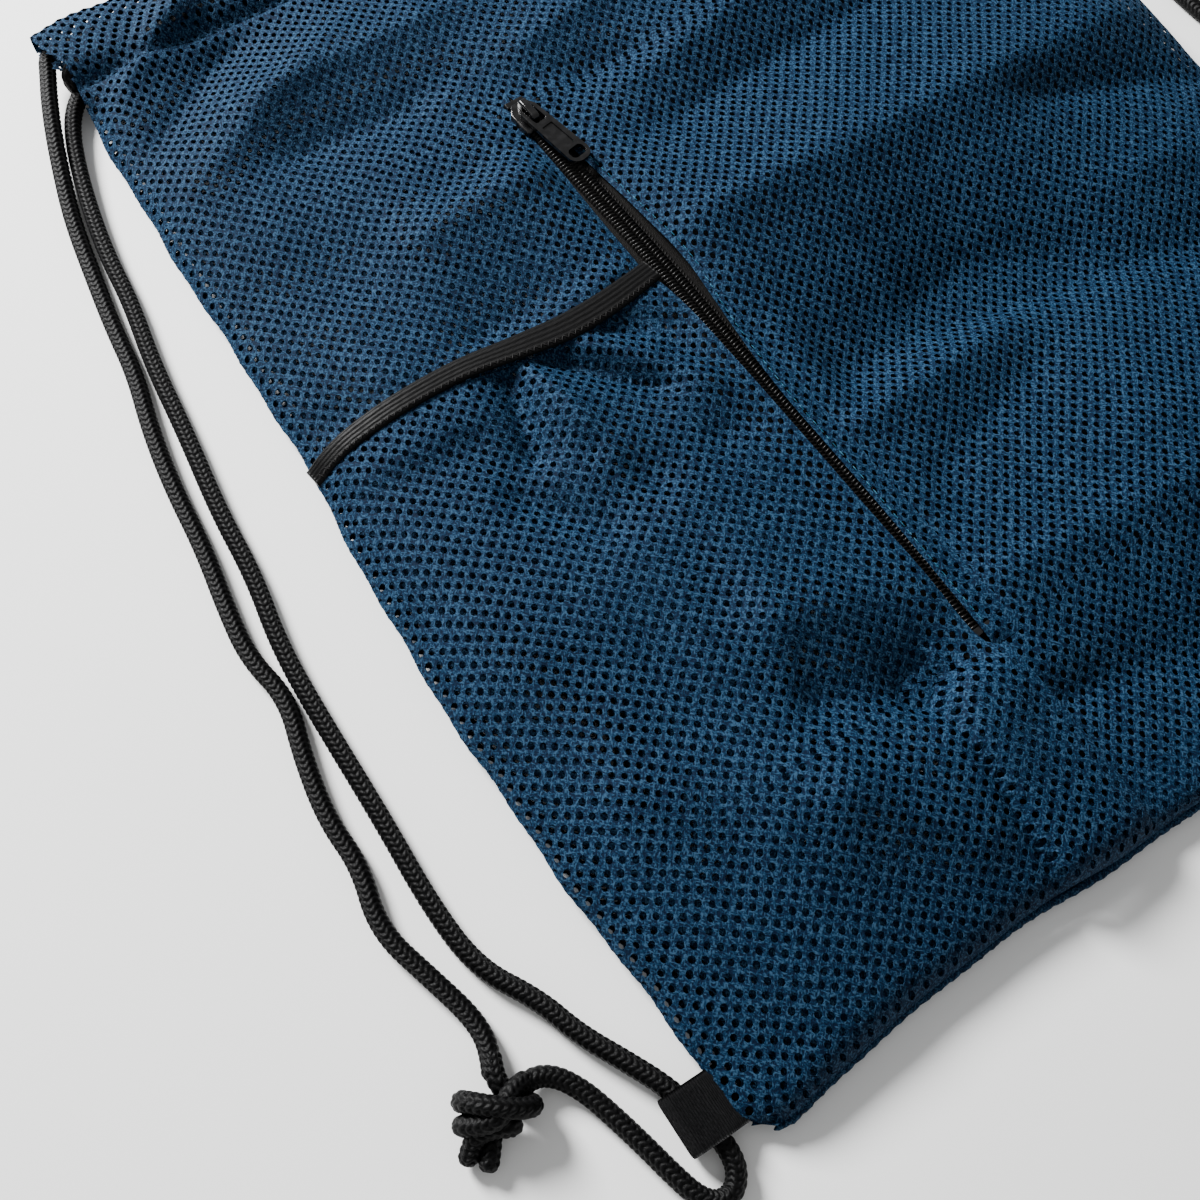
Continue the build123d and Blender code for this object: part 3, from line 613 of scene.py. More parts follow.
def yarn_material(name, dark, mid, light):
    """Fuzzy textured polyester yarn: fine loops."""
    material, tree, shader, where = new_material(name, 0.75, 0.08, sheen_weight=0.02, sheen_roughness=0.4)
    shader.inputs["Sheen Tint"].default_value = (0.1, 0.5, 1.0, 1)
    one_way, other_way = (noise(tree, where, 1050, 1.5, (1.9, 0.75, 1.0), turn) for turn in (38, -38))
    loops = math_node(tree, "MAXIMUM", one_way, other_way)
    paint(tree, shader, loops, (0.47, dark), (0.57, mid), (0.67, light))
    bump(tree, shader, loops, 0.7, 0.0004)
    return material


def black_textile(name, dark, light, scale, stretch=(1, 1, 1)):
    """Black yarn or webbing, with fine threads."""
    material, tree, shader, where = new_material(name, 0.5, 0.1, sheen_weight=0.01, sheen_roughness=0.4)
    threads = noise(tree, where, scale, 2.0, stretch)
    paint(tree, shader, threads, (0.35, dark), (0.7, light))
    bump(tree, shader, threads, 0.5, 0.00025)
    return material


def coil_material():
    """Smooth black nylon."""
    material, tree, shader, where = new_material("coil_nylon", 0.3, 0.14)
    threads = noise(tree, where, 900)
    paint(tree, shader, threads, (0.3, (0.002, 0.0019, 0.0018)), (0.75, (0.007, 0.0065, 0.0062)))
    bump(tree, shader, threads, 0.15, 0.0002)
    return material


def steel_material():
    material, tree, shader, where = new_material("spring_steel", 0.35, metallic=1.0)
    grain = noise(tree, where, 1500, 2.0, (6, 0.4, 1))
    paint(tree, shader, grain, (0.3, (0.35, 0.35, 0.36)), (0.7, (0.55, 0.55, 0.56)))
    return material


def enamel_material():
    """Black enamel on cast zinc, slightly uneven, with rubbed brighter spots."""
    coat = {"coat_weight": 0.3, "coat_roughness": 0.05}
    material, tree, shader, where = new_material("black_enamel", 0.2, 0.3, **coat)
    wear = noise(tree, where, 380, 3.0)
    paint(tree, shader, wear, (0.45, (0.002, 0.002, 0.0022)), (0.8, (0.007, 0.007, 0.0075)))
    rough = ramp(tree, wear, (0.3, (0.13, 0.13, 0.13)), (0.8, (0.26, 0.26, 0.26)))
    tree.links.new(rough, shader.inputs["Roughness"])
    bump(tree, shader, noise(tree, where, 160, 1.0), 0.12, 0.0003)
    return material


blue_mesh = yarn_material("blue_mesh", (0.0003, 0.005, 0.017), (0.0017, 0.0172, 0.044), (0.02, 0.054, 0.1))
thread_blue = yarn_material("thread_blue", (0.006, 0.04, 0.07), (0.015, 0.07, 0.12), (0.05, 0.15, 0.22))
lining_black = black_textile("lining_black", (0.0008, 0.0012, 0.002), (0.0018, 0.003, 0.005), 1800)
elastic_black = black_textile(
    "elastic_black", (0.0007, 0.0007, 0.0008), (0.0032, 0.0032, 0.0034), 1600, (0.3, 2, 1)
)
tape_black = black_textile(
    "tape_black", (0.0012, 0.0011, 0.001), (0.005, 0.0044, 0.0041), 2000, (1.6, 0.8, 1)
)
web_black = black_textile("web_black", (0.0015, 0.0015, 0.0017), (0.008, 0.008, 0.0086), 1900, (2, 0.6, 1))
cord_black = black_textile("cord_black", (0.0006, 0.0006, 0.0007), (0.0034, 0.0034, 0.0037), 2400)
thread_black = black_textile("thread_black", (0.004, 0.004, 0.004), (0.014, 0.013, 0.013), 2600)
enamel = enamel_material()
coil_nylon = coil_material()
steel = steel_material()


# ---- cloth pieces ----
def panel_side(y, side):
    """X of a front panel's edge beside the zip, or on the seam above and below the zip."""
    over = y - ZIP_MIDDLE[1]
    below_end = smooth_step(over, -ZIP_HALF - 2, -ZIP_HALF)
    above_end = smooth_step(-over, -ZIP_HALF - 1, -ZIP_HALF + 5)
    stations = (-205, -134, -100, -60, -20, 18, 40, 62, 97, 180)
    if side < 0:
        gaps = (5.0, 5.0, 5.0, 5.0, 5.6, 6.6, 5.6, 4.0, 3.6, 3.6)
    else:
        gaps = (5.0, 5.0, 5.2, 5.5, 6.0, 6.6, 6.2, 5.3, 4.0, 4.0)
    return zip_x(y) + side * below_end * above_end * along_line(y, stations, gaps)


def panel_place(first_x, width, left_edge, right_edge, top=lambda x: TUNNEL_Y):
    """The place function of a panel between two side edges, the bag's bottom edge and a top edge.

    first_x and width tell roughly where it stands on the bottom edge."""

    def place(s, t):
        x = first_x + width * s
        low = bottom_y(x)
        y = low + (top(x) - low) * t
        left = left_edge(y)
        return left + (right_edge(y) - left) * s, y

    return place


def hemmed(x, y):
    """Where a front panel's edge has no cut holes: beside the zip, and at the seams across."""
    beside_zip = (np.abs(x - zip_x(y)) < 9) & (np.abs(y - ZIP_MIDDLE[1]) < ZIP_HALF + 3)
    return beside_zip | (y < -194) | (y > 174)


PANEL_HEIGHT = 378
front_left = mesh_cloth(
    "front_panel_left_cloth",
    ["front_panel_left"],
    120,
    PANEL_HEIGHT,
    panel_place(-168, 123, left_x, lambda y: panel_side(y, -1)),
    under_pocket_z,
    whole=hemmed,
)
front_right = mesh_cloth(
    "front_panel_right_cloth",
    ["front_panel_right"],
    214,
    PANEL_HEIGHT,
    panel_place(-45, 213, lambda y: panel_side(y, 1), right_x),
    front_z,
    whole=hemmed,
)
pocket = mesh_cloth(
    "side_pocket_cloth",
    ["side_pocket_panel"],
    123,
    213,
    panel_place(-168, 123, left_x, pocket_edge_x, pocket_top_y),
    pocket_z,
    whole=lambda x, y: (x > -150) | (y < -194),
)

HEM_LOW = -137.0  # the hem's lower end
HEM_LENGTH = 149.0
HEM_REACH = 9.6  # from the zip's line to the hem's far side
HEM_Z = 15.35  # the hem's top over the coil


def hem_edge_x(y):
    """X of the folded hem's edge, over the right half of the zip's coil."""
    stations = (-136, -128, -118, -104, -84, -62, -40, -17, 2, 12)
    return zip_x(y) + along_line(y, stations, (-0.8, -0.5, -0.1, 0.5, 1.2, 1.5, 1.8, 3.4, 5.6, 6.6))


def hem_place(s, t):
    y = HEM_LOW + HEM_LENGTH * t
    edge = hem_edge_x(y)
    return edge + (zip_x(y) + HEM_REACH - edge) * s, y


def hem_z(x, y):
    """Height of the hem: over the coil at its edge, on the panel at its far side."""
    aside = x - zip_x(y)
    on_panel = front_z(x, y) + 0.35
    raised = np.maximum(HEM_Z - on_panel, 0) * (1 - smooth_step(aside, 3.2, 8.4))
    raised = raised * smooth_step(y, HEM_LOW - 0.5, HEM_LOW + 4)
    ends = smooth_step(y, HEM_LOW, HEM_LOW + 2.5) * smooth_step(-y, -12, -8)
    return on_panel + raised - 0.3 * smooth_step(aside, HEM_REACH - 1, HEM_REACH) - 0.3 * (1 - ends)


hem = mesh_cloth(
    "zip_hem_cloth", [], 2 * CELL_X, HEM_LENGTH, hem_place, hem_z, whole=lambda x, y: True
)
back = mesh_cloth(
    "back_panel_cloth",
    ["back_panel"],
    336,
    PANEL_HEIGHT,
    panel_place(-168, 336, left_x, right_x),
    back_z,
    below=-1.0,
)


def tunnel_section(t, width, room):
    """A flat sleeve's outline from its front seam, over the fold at the mouth, to its rear seam.

    Gives the distance from the seam as a share of the width, and how far down the sleeve's depth."""
    fold = 0.14  # the fold's share of the outline
    upper = (1 - fold) / 2
    out = np.minimum(np.minimum(t, 1 - t) / upper, 1.0)
    turn = np.clip((t - upper) / fold, 0, 1) * math.pi
    return out + np.sin(turn) * room / 2 / width, (1 - np.cos(turn)) / 2


def make_tunnel(name, node, front):
    """One drawstring tunnel: mesh cloth folded over at the mouth and sewn down along its lower edge."""
    width = 28.0
    depth = 6.4

    def half_length(y):
        """Half the sleeve's length at a given Y: it narrows to the cord's way out."""
        if front:
            return 171.6 - 2.6 * smooth_step(-y, -198, -184)
        return 166.5 - 0.34 * np.maximum(200 - y, 0)

    def place(s, t):
        """The place on the bag. It keeps how far down the sleeve the points are, for height."""
        out, place.down = tunnel_section(t, width, depth)
        y = TUNNEL_Y + (top_y((s - 0.5) * 336) - TUNNEL_Y) * out * 0.97
        share = smooth_step(y, 178, 192) if front else smooth_step(y, 175, 181)
        left = left_x(y) * (1 - share) - half_length(y) * share
        right = right_x(y) * (1 - share) + half_length(y) * share
        return left + (right - left) * s, y

    def height(x, y):
        open_share = smooth_step(y, TUNNEL_Y, TUNNEL_Y + 10)
        thick = depth * (0.25 + 0.75 * open_share)
        if front:
            return front_z(x, y) - thick * place.down
        floor = 0.45
        top = 1.4 + thick * 0.92 + 1.2 * open_share
        from_end = np.clip(170 - np.abs(x), 0, 60)
        return floor + np.maximum(top - floor, 0.2) * (1 - place.down) + 0.2 * np.exp(-from_end / 6.0)

    return mesh_cloth(name, [node], 336, 2 * width + depth, place, height)


for tunnel in (
    make_tunnel("front_tunnel_cloth", "front_drawstring_tunnel", True),
    make_tunnel("back_tunnel_cloth", "back_drawstring_tunnel", False),
):
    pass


# ---- strips: elastic and zip tapes ----
def strip(name, stations, centre, section):
    """A solid strip along a line. centre(u) gives its middle, its direction across and its up
    direction at each station, and section(u) the outline's points across and up."""
    rows = []
    for u in stations:
        middle, across, up = centre(u)
        rows.append([middle + across * a + up * b for a, b in section(u)])
    rows = np.array(rows, float)
    count, points = rows.shape[:2]
    ends = []
    for first in (0, (count - 1) * points):
        for k in range(1, points // 2):
            quad = [first + i % points for i in (k - 1, k, points - 1 - k, points - k)]
            ends.append(quad[::-1] if first else quad)
    return make_mesh(name, rows.reshape(-1, 3), [grid_faces(count, points, closed=True), np.array(ends)])


ELASTIC_START = float(left_x(12.6))  # X of the bag's edge at the elastic
ELASTIC_END = float(zip_x(17.0))  # X of the zip at the elastic
ELASTIC_THICK = 1.1
ELASTIC_RIBS = 5.5
UP = np.array([0.0, 0.0, 1.0])


def elastic_half(x):
    """Half of the elastic's width."""
    return float(along_line(x, (-175, -150, -110, -85, -46), (3.0, 3.5, 3.9, 4.6, 4.0)))


def make_elastic():
    """The elastic band across the pocket's mouth, with ribs along it."""

    def centre(x):
        slope = float(elastic_y(x + 1) - elastic_y(x - 1)) / 2
        across = np.array([-slope, 1.0, 0.0]) / math.hypot(1, slope)
        up = np.cross([1.0, slope, 0.0], across)
        return np.array([x, float(elastic_y(x)), float(elastic_z(x))]), across, up / np.linalg.norm(up)

    def section(x):
        share = np.linspace(-1, 1, 33)
        edge = 1 - np.abs(share) ** 8
        ribs = 0.07 * np.cos(math.pi * ELASTIC_RIBS * (share + 1))
        upper = ELASTIC_THICK * (0.25 + 0.75 * edge) + ribs * edge
        across = elastic_half(x) * share
        return [*zip(across, upper), *((a, 0.0) for a in across[::-2])]

    piece = strip("elastic_band", np.linspace(ELASTIC_START - 0.4, ELASTIC_END - 4.6, 200), centre, section)
    return finish_piece(piece, elastic_black, "elastic_band", "pocket_elastic_binding")


elastic = make_elastic()
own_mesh(pocket)
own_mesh(hem)

# ---- zip ----
TAPE_Z = 12.35  # lower face of the tapes
COIL_Z = 12.6  # lower edge of the coils
COIL_RISE = 2.05  # from the flank of a turn, 0.3 over COIL_Z, to its crown
COIL_PITCH = 1.35
SAMPLES_PER_TURN = 7


def zip_point(s, aside, z):
    """A point beside the zip's middle line, s millimetres along it from the middle of the zip."""
    y = ZIP_MIDDLE[1] + s * math.cos(ZIP_TILT)
    return np.array([float(zip_x(y)), y, z]) + ZIP_ACROSS * aside


def make_tape(side, name):
    """One half of the zip's tape. side is -1 for the left and 1 for the right."""
    inner, outer = sorted((side * 0.35, side * 12.6))
    outline = [(inner + (outer - inner) * k / 12, 0.5 + 0.06 * math.cos(k * 2.1)) for k in range(13)]
    outline += [(outer, 0.0), (inner, 0.0)]
    piece = strip(
        f"zip_tape_{name}",
        np.linspace(-121, 121, 160),
        lambda s: (zip_point(s, 0, TAPE_Z), ZIP_ACROSS, UP),
        lambda s: outline,
    )
    return finish_piece(piece, tape_black, "zip_tape", f"zipper_tape_{name}")


def make_coil(side, name):
    """One row of coil turns. Each turn is a rounded rib across the row, and the rows interlock."""
    half = ZIP_HALF - 2.5
    rows = []
    for s in np.linspace(-half, half, int(2 * half / COIL_PITCH * SAMPLES_PER_TURN)):
        row = [zip_point(s, side * 3.5, COIL_Z)]
        for share in np.linspace(0, 1, 9):
            phase = (s + 0.45 * (share - 0.5)) / COIL_PITCH + (0.5 if side > 0 else 0.0)
            rib = (0.5 + 0.5 * math.cos(2 * math.pi * phase)) ** 0.6
            dome = math.sin(math.pi * (0.06 + 0.80 * share)) ** 0.55
            z = COIL_Z + 0.3 + COIL_RISE * dome * (0.52 + 0.48 * rib)
            row.append(zip_point(s, side * (3.3 - 3.35 * share), z))
        row.append(zip_point(s, side * 0.05, COIL_Z))
        rows.append(row)
    piece = grid_mesh(f"zip_coil_{name}", rows, flip=side > 0)
    return finish_piece(piece, coil_nylon, "zip_coil", f"zipper_coil_{name}")


for make_half in (make_tape, make_coil):
    make_half(-1, "left")
    make_half(1, "right")


# ---- stitches ----
STITCH_PROFILE = [(-0.5, 0.25), (-0.38, 0.8), (0.0, 1.0), (0.38, 0.8), (0.5, 0.25)]
STITCH_SIDES = 6
STITCH_FLATNESS = 0.6


def stitch_row(name, places, directions, length, radius, material, slot):
    """A row of short rounded stitches, one at each place, lying along its direction."""
    points, faces = [], []
    for middle, direction in zip(places, directions):
        along = np.asarray(direction, float)
        along = along / np.linalg.norm(along)
        side = np.cross(along, UP)
        side = side / np.linalg.norm(side)
        up = np.cross(side, along) * STITCH_FLATNESS
        base = len(points)
        for share, fat in STITCH_PROFILE:
            for k in range(STITCH_SIDES):
                turn = 2 * math.pi * k / STITCH_SIDES
                ring = (side * math.cos(turn) + up * math.sin(turn)) * radius * fat
                points.append(np.asarray(middle) + along * share * length + ring)
        faces.append(base + grid_faces(len(STITCH_PROFILE), STITCH_SIDES, closed=True))
        last_ring = base + (len(STITCH_PROFILE) - 1) * STITCH_SIDES
        faces.append(np.array([[base + i for i in quad] for quad in ((3, 2, 1, 0), (5, 4, 3, 0))]))
        faces.append(np.array([[last_ring + i for i in quad] for quad in ((0, 1, 2, 3), (0, 3, 4, 5))]))
    piece = make_mesh(name, points, [np.concatenate(faces)])
    return finish_piece(piece, material, slot)


def coil_stitches():
    """The slanted stitches that hold the right coil to its tape, where the cloth leaves the tape open."""
    zip_along = np.array([-ZIP_ACROSS[1], ZIP_ACROSS[0], 0])
    places = [zip_point(s, 4.1, 12.95) for s in np.arange(-111, 111, COIL_PITCH)]
    directions = [ZIP_ACROSS * 0.8 + zip_along * 0.6] * len(places)
    return stitch_row("coil_stitches_right", places, directions, 1.35, 0.24, thread_black, "zip_tape")


def hem_stitches():
    """The running stitch that holds the right panel's hem to the zip's tape."""
    places = []
    for y in np.arange(-128, 92, 3.1):
        x = float(hem_edge_x(y) if y < 8 else panel_side(y, 1)) + 1.7
        z = float(hem_z(x, y) if y < 8 else front_z(x, y))
        places.append([x, y, z + 0.14])
    directions = [[-math.tan(ZIP_TILT), 1.0, 0.0]] * len(places)
    return stitch_row("zip_hem_stitches", places, directions, 2.1, 0.17, thread_blue, "mesh_cloth")


def elastic_stitches():
    """The zigzag stitch along the elastic's lower edge."""
    places, directions = [], []
    for i, x in enumerate(np.arange(ELASTIC_START + 2, ELASTIC_END - 6, 1.15)):
        places.append([x, float(elastic_y(x)) - elastic_half(x) + 1.15, float(elastic_z(x)) + 1.16])
        directions.append([1.0, 1.3 if i % 2 else -1.3, 0.0])
    return stitch_row("elastic_zigzag", places, directions, 1.75, 0.17, thread_black, "elastic_band")


coil_stitches()
hem_stitches()
elastic_stitches()


# ---- cords ----
def spline_points(route, steps=24):
    """Points on the NURBS line whose control points are the route, in metres."""
    curve = bpy.data.curves.new("route", "CURVE")
    curve.dimensions = "3D"
    spline = curve.splines.new("NURBS")
    spline.points.add(len(route) - 1)
    for point, place in zip(spline.points, route):
        point.co = (*place, 1)
    spline.order_u = 3
    spline.use_endpoint_u = True
    curve.resolution_u = steps
    thing = add_object("route", curve)
    bpy.context.view_layer.update()
    mesh = bpy.data.meshes.new_from_object(thing)
    line = np.array([v.co for v in mesh.vertices], float)
    bpy.data.objects.remove(thing)
    return line


def even_points(line, step):
    """The same line with points a fixed distance apart, and its length."""
    gaps = np.linalg.norm(np.diff(line, axis=0), axis=1)
    run = np.concatenate([[0], np.cumsum(gaps)])
    count = max(int(run[-1] / step), 8)
    wanted = np.linspace(0, run[-1], count + 1)
    return np.stack([np.interp(wanted, run, line[:, k]) for k in range(3)], 1), run[-1]


BRAID_COLUMNS = 8  # columns of stitches round the cord
BRAID_SAMPLES = 6  # points across one column
BRAID_PITCH = 1.8  # length of one stitch
BRAID_DEPTH = 0.5  # depth of the grooves between the stitches
BRAID_CROWN = 0.18  # how far a stitch stands out over the cord's radius
BRAID_END = 9  # rings in a cord's rounded end


def braid_tube(name, line, radius=CORD_DIAMETER / 2, step=0.27):
    """A braided cord along a line, in metres: columns of slanted stitches that lean by turns.

    Gives the piece, the path that it follows and its length, both in metres."""
    points, length = even_points(line, step * MM)
    points = points / MM
    around = BRAID_COLUMNS * BRAID_SAMPLES
    tangent = np.gradient(points, axis=0)
    tangent /= np.linalg.norm(tangent, axis=1)[:, None]
    up = np.zeros_like(points)
    normal = UP - tangent[0] * tangent[0][2]
    for i, t in enumerate(tangent):
        normal = normal - t * float(normal @ t)
        normal = normal / np.linalg.norm(normal)
        up[i] = normal
    side = np.cross(tangent, up)
    run = np.linspace(0, length / MM, len(points))
    k = np.arange(around)
    column = k // BRAID_SAMPLES
    inside = (k % BRAID_SAMPLES + 0.5) / BRAID_SAMPLES - 0.5
    slant = np.where(column % 2 == 0, 1.0, -1.0) * inside * 0.9
    phase = run[:, None] / BRAID_PITCH + slant[None, :]
    along = np.abs(phase - np.round(phase)) / 0.5
    oval = np.clip(1 - 0.95 * along**2 - 0.75 * (inside[None, :] / 0.5) ** 2, 0, 1)
    wide = radius + BRAID_CROWN - BRAID_DEPTH * (1 - np.sqrt(oval))
    dome = np.sqrt(1 - (1 - np.linspace(0.12, 1, BRAID_END)) ** 2)
    wide[:BRAID_END] *= dome[:, None]
    wide[-BRAID_END:] *= dome[::-1, None]
    turn = 2 * math.pi * k / around
    ring = up[:, None, :] * np.cos(turn)[None, :, None] + side[:, None, :] * np.sin(turn)[None, :, None]
    grid = points[:, None, :] + ring * wide[:, :, None]
    count = len(points)
    faces = grid_faces(count, around, closed=True)[:, ::-1]
    vertices = np.concatenate([grid.reshape(-1, 3), points[:1], points[-1:]])
    first, last, base = count * around, count * around + 1, (count - 1) * around
    fans = [[first, (i + 1) % around, i] for i in range(around)]
    fans += [[last, base + i, base + (i + 1) % around] for i in range(around)]
    piece = make_mesh(name, vertices, [faces, np.array(fans)])
    return piece, [tuple(p * MM) for p in points[::6]] + [tuple(points[-1] * MM)], length


def mirrored(points):
    return [(-x, y, z) for x, y, z in points]


def make_cords(side, outer_route, inner_route):
    """The knot of one side and the two free runs of its cord."""
    strands = []
    for i, strand in enumerate(KNOT_STRANDS):
        line = spline_points(strand if side == "left" else mirrored(strand))
        strands.append(braid_tube(f"{side}_knot_strand_{i + 1}", line, CORD_DIAMETER / 2 - 0.05)[0])
    finish_piece(strands[0], cord_black, "cord_braid", f"{side}_cord_knot")
    finish_piece(strands[1], cord_black, "cord_braid")
    for run, route in (("outer", outer_route), ("inner", inner_route)):
        piece, path, length = braid_tube(f"{side}_cord_{run}", spline_points(route))
        finish_piece(piece, cord_black, "cord_braid", f"{side}_cord_{run}_run")


make_cords("left", LEFT_OUTER_ROUTE, LEFT_INNER_ROUTE)
make_cords("right", RIGHT_OUTER_ROUTE, RIGHT_INNER_ROUTE)


def hidden_cord(side, sign, front_y, back_y):
    """The part of a cord inside the tunnels, with its turn just inside their far end.

    front_y and back_y are its lines in the front and in the back tunnel."""
    front_height, back_height = 12.2, 3.9
    way_in, far = sign * 158.0, -sign * 158.6  # X of the two ends of its straight part
    reach = -sign * 7.4  # of the turn, beyond far

    def lane(y, z, wobble):
        """A run through one tunnel, from the way in to the start of the turn."""
        bent = [(way_in * 0.4, y - wobble, z), (far * 0.4, y + wobble, z)]
        return [(way_in, y, z), *bent, (far, y, z), (far + reach, y, z - 2 * wobble)]

    top_of_turn = (far + reach * 1.15, (front_y + back_y) / 2, (front_height + back_height) / 2)
    route = [*lane(front_y, front_height, 0.3), top_of_turn, *lane(back_y, back_height, -0.3)[::-1]]
    line = spline_points([tuple(v * MM for v in p) for p in route], 60)
    piece, _, _ = braid_tube(f"{side}_cord_through_tunnels", line, CORD_DIAMETER / 2 - 0.1, 0.6)
    return finish_piece(piece, cord_black, "cord_braid", f"{side}_cord_in_tunnels")


hidden_cord("left", -1, 195.5, 183.5)
hidden_cord("right", 1, 186.0, 184.0)


# ---- webbing tabs ----
TAB_Y = (-199.0, -183.0)
TAB_X = 169.6  # the side seam, where the tab is sewn in
TAB_TAIL = -2.6  # where its ends lie, inside the seam
TAB_LAYER = 15.8  # length of each of its two layers
TAB_Z = 4.2  # between the layers
TAB_THICK = 1.15
TAB_GAP = 3.65  # half of the distance between the layers at the cord
FOLD_X = 12.6  # middle of the fold's arc
FOLD_REACH = 2.6
TAB_POINTS = 400
LAYER_SHARE = 0.36  # each layer's share of those points; the fold has the rest
RIB_PITCH = 0.68
RIB_HEIGHT = 0.17


def tab_point(t):
    """A point of the tab's middle line, seen from its side: one layer, the fold, the other layer."""
    if LAYER_SHARE <= t < 1 - LAYER_SHARE:
        turn = math.pi * (0.5 - (t - LAYER_SHARE) / (1 - 2 * LAYER_SHARE))
        return FOLD_X + FOLD_REACH * math.cos(turn), TAB_GAP * math.sin(turn)
    x = TAB_TAIL + TAB_LAYER * min(t, 1 - t) / LAYER_SHARE
    z = 0.6 + (TAB_GAP - 0.6) * float(smooth_step(x, 0.0, 6.5))
    return x, z if t < 0.5 else -z


def make_tab(side, sign):
    """Grosgrain webbing folded over the cord, with ribs across it."""
    outline = np.array([tab_point(i / (TAB_POINTS - 1)) for i in range(TAB_POINTS)])
    step = np.gradient(outline, axis=0)
    step /= np.linalg.norm(step, axis=1)[:, None]
    normal = np.stack([-step[:, 1], step[:, 0]], 1)
    run = np.concatenate([[0], np.cumsum(np.linalg.norm(np.diff(outline, axis=0), axis=1))])
    half = TAB_THICK / 2 + RIB_HEIGHT * np.cos(2 * math.pi * run / RIB_PITCH)
    rows = []
    for share in np.linspace(0, 1, 21):
        edge = 1 - 0.5 * abs(2 * share - 1) ** 14
        out = normal * (half * edge)[:, None]
        loop = np.concatenate([outline + out, (outline - out)[::-1]])
        y = TAB_Y[0] + (TAB_Y[1] - TAB_Y[0]) * share + 0.03 * loop[:, 0]
        rows.append(np.stack([sign * (TAB_X + loop[:, 0]), y, np.maximum(TAB_Z + loop[:, 1], 0.02)], 1))
    rows = np.array(rows)
    count, around = rows.shape[:2]
    caps = []
    for first in (0, (count - 1) * around):
        for k in range(TAB_POINTS - 1):
            quad = [first + k, first + k + 1, first + around - 2 - k, first + around - 1 - k]
            caps.append(quad[::-1] if first else quad)
    faces = np.concatenate([grid_faces(count, around, closed=True), np.array(caps)])
    if sign > 0:
        faces = faces[:, ::-1]
    piece = make_mesh(f"{side}_webbing_tab", rows.reshape(-1, 3), [faces])
    return finish_piece(piece, web_black, "webbing", f"{side}_cord_tab")


make_tab("left", -1)
make_tab("right", 1)


# ---- seams and lining ----
def seam_roll(name, node, stations, where, radius):
    """A thin bumpy roll of cloth along an edge."""

    def centre(u):
        step = np.array(where(u + 0.5)) - np.array(where(u - 0.5))
        across = np.cross(UP, step)
        return np.array(where(u)), across / np.linalg.norm(across), UP

    def section(u):
        from_end = min(u - stations[0], stations[-1] - u)
        taper = math.sqrt(min(1.0, from_end / 5.0 + 0.02))
        fat = radius * taper * (1 + 0.10 * math.sin(u * 1.37) + 0.06 * math.sin(u * 3.1 + 1))
        ring = [2 * math.pi * k / 10 for k in range(10)]
        return [(fat * math.cos(a), fat * 0.85 * math.sin(a)) for a in ring]

    piece = strip(name, stations, centre, section)
    return finish_piece(piece, blue_mesh, "seam_cloth", node)


for side, edge_x, inwards in (("left", left_x, 0.9), ("right", right_x, -0.9)):
    seam_roll(
        f"{side}_edge_roll",
        f"{side}_side_seam",
        np.arange(-200, 176, 1.0),
        lambda y: (float(edge_x(y)) + inwards, y, EDGE_Z - 0.2),
        0.95,
    )
seam_roll(
    "bottom_edge_roll",
    "bottom_seam",
    np.arange(-165, 166, 1.0),
    lambda x: (x, float(bottom_y(x)) - 0.1, 3.6),
    1.4,
)


def bottom_band():
    """The seam allowance inside the bottom edge, which fills the holes of the cloth over it."""
    rows = []
    for x in np.linspace(-165, 166, 150):
        depth = 15.5 + 0.8 * math.sin(x / 19)
        y = float(bottom_y(x)) + 1.2 + depth * np.linspace(0, 1, 12)
        x = np.full_like(y, x)
        cover = np.where(x < zip_x(y), under_pocket_z(x, y), front_z(x, y))
        rows.append(np.stack([x, y, cover - 0.75], 1))
    piece = grid_mesh("bottom_seam_allowance", rows)
    return finish_piece(piece, blue_mesh, "seam_cloth")


seam_allowance = bottom_band()


def lining():
    """The lining of the zipped pocket, under the front panels."""
    x, y = np.meshgrid(np.linspace(-66, 165, 90), np.linspace(-198, 111, 110), indexing="ij")
    z = np.minimum(6.6 + 0.8 * crinkle(x * 0.8, y * 0.8), front_z(x, y) - 1.2)
    z = z - 2.2 * np.exp(-np.minimum(inset(x, y), 30) / 5.0)
    piece = grid_mesh("zip_pocket_lining_cloth", np.stack([x, y, z], -1))
    return finish_piece(piece, lining_black, "lining_cloth", "zip_pocket_lining")


lining_cloth = lining()


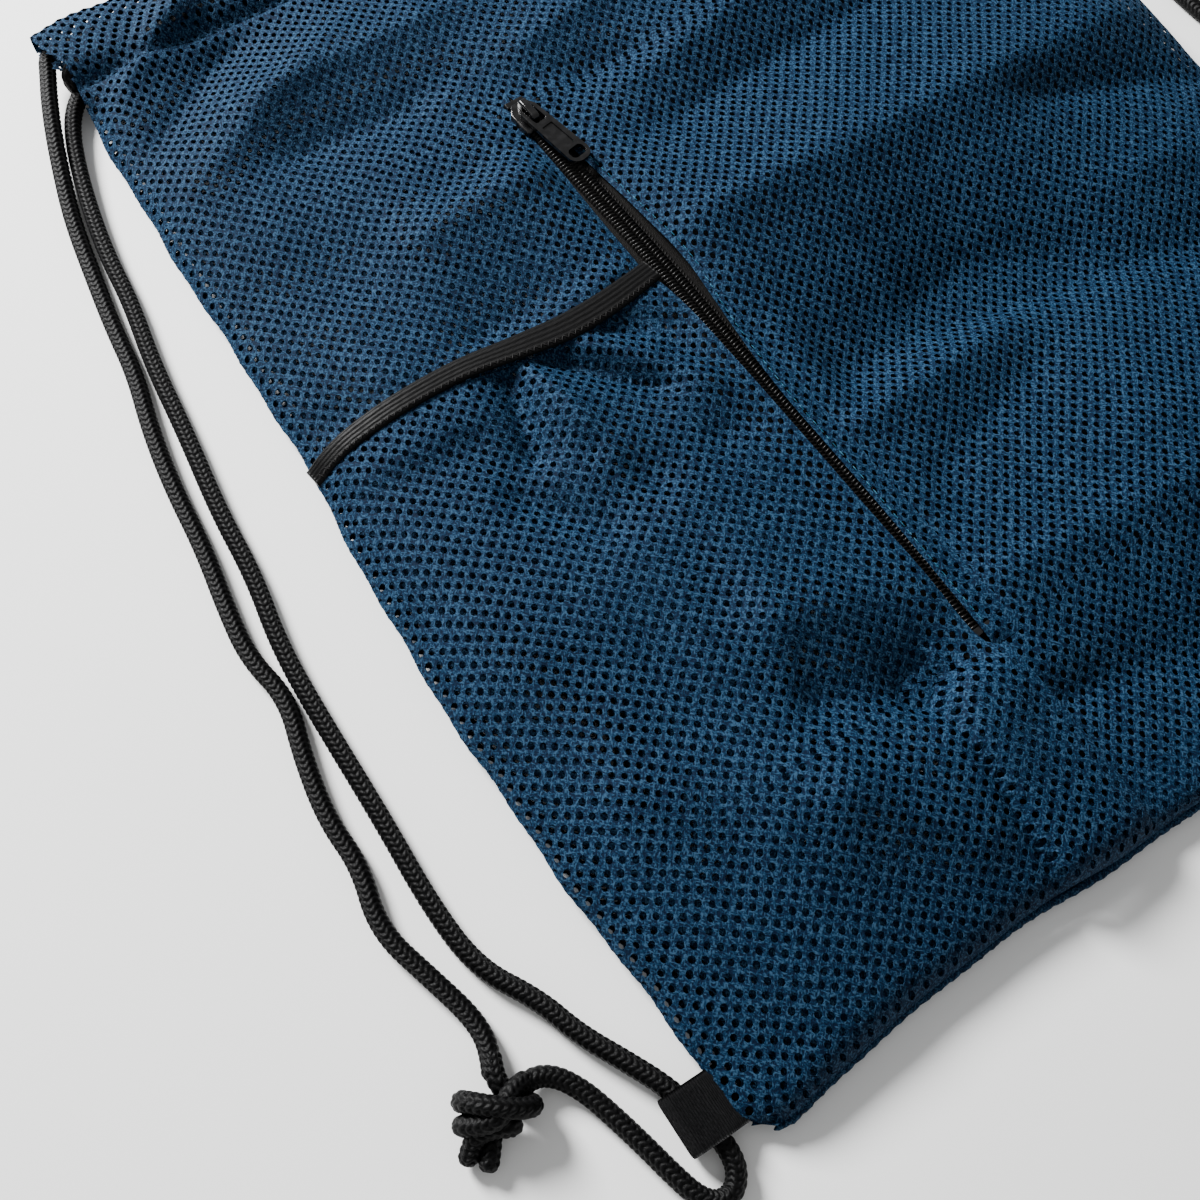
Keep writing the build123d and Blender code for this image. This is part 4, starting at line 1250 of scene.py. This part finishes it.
# ---- zip hardware: the exact solids, with their edges rounded over and the enamel on ----
def rounded_copy(node, body, slot, radius):
    """A copy of an exact solid whose sharp edges are rounded, as on a die-cast part."""
    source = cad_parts[node]
    mesh = source.data.copy()
    mesh.materials.clear()
    piece = add_object(node + "_cast", mesh)
    piece.matrix_world = source.matrix_world.copy()
    grid = bmesh.new()
    grid.from_mesh(mesh)
    bmesh.ops.remove_doubles(grid, verts=grid.verts, dist=0.000001)
    bmesh.ops.dissolve_limit(grid, angle_limit=math.radians(4), verts=grid.verts, edges=grid.edges)
    grid.to_mesh(mesh)
    grid.free()
    rounding = piece.modifiers.new("round", "BEVEL")
    rounding.width = radius * MM
    rounding.segments = 4
    rounding.limit_method = "ANGLE"
    rounding.angle_limit = math.radians(35)
    bpy.context.view_layer.update()
    seen = piece.evaluated_get(bpy.context.evaluated_depsgraph_get())
    piece.data = bpy.data.meshes.new_from_object(seen)
    piece.modifiers.clear()
    piece.data.shade_smooth()
    return finish_piece(piece, enamel, slot, node, body=body)


rounded_copy("slider_body", "slider", "slider_enamel", 0.45)
rounded_copy("slider_crown", "slider", "slider_enamel", 0.3)
rounded_copy("pull_tab", "pull", "pull_enamel", 0.5)
for node, material in (
    ("zipper_top_stop", enamel),
    ("zipper_bottom_stop", enamel),
    ("slider_lock_spring", steel),
):
    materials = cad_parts[node].data.materials
    materials.clear()
    materials.append(material)


# ---- floor, lights and camera ----
def make_floor():
    half = 4000
    corners = [(-half, -half, 0), (half, -half, 0), (half, half, 0), (-half, half, 0)]
    floor = make_mesh("floor", corners, [[[0, 1, 2, 3]]])
    material, tree, shader, where = new_material("floor_white", 0.9)
    paint(tree, shader, noise(tree, where, 8), (0.0, (0.93, 0.935, 0.93)), (1.0, (0.95, 0.955, 0.95)))
    floor.data.materials.append(material)


def make_light(name, place, target, size, power):
    data = bpy.data.lights.new(name, "AREA")
    data.shape = "DISK"
    data.size = size
    data.energy = power
    lamp = add_object(name, data)
    lamp.location = place
    lamp.rotation_mode = "QUATERNION"
    lamp.rotation_quaternion = (Vector(target) - Vector(place)).to_track_quat("-Z", "Y")


def make_world():
    world = bpy.data.worlds.new("studio")
    world.use_nodes = True
    background = world.node_tree.nodes["Background"]
    background.inputs["Color"].default_value = (1, 1, 1, 1)
    background.inputs["Strength"].default_value = 0.45
    bpy.context.scene.world = world


def make_camera():
    data = bpy.data.cameras.new("camera")
    data.sensor_width = 36
    data.lens = 41.04
    camera = add_object("camera", data)
    right = Vector((0.8305, -0.5550, 0.0474))
    up = Vector((0.4932, 0.7723, 0.4004))
    axes = Matrix((right, up, right.cross(up))).transposed()
    camera.matrix_world = Matrix.Translation((-0.2232, -0.1836, 0.36075)) @ axes.to_4x4()
    bpy.context.scene.camera = camera


make_floor()
make_light("key", (-0.42, 1.10, 0.78), (0, 0, 0), 0.5, 76)
make_world()
make_camera()
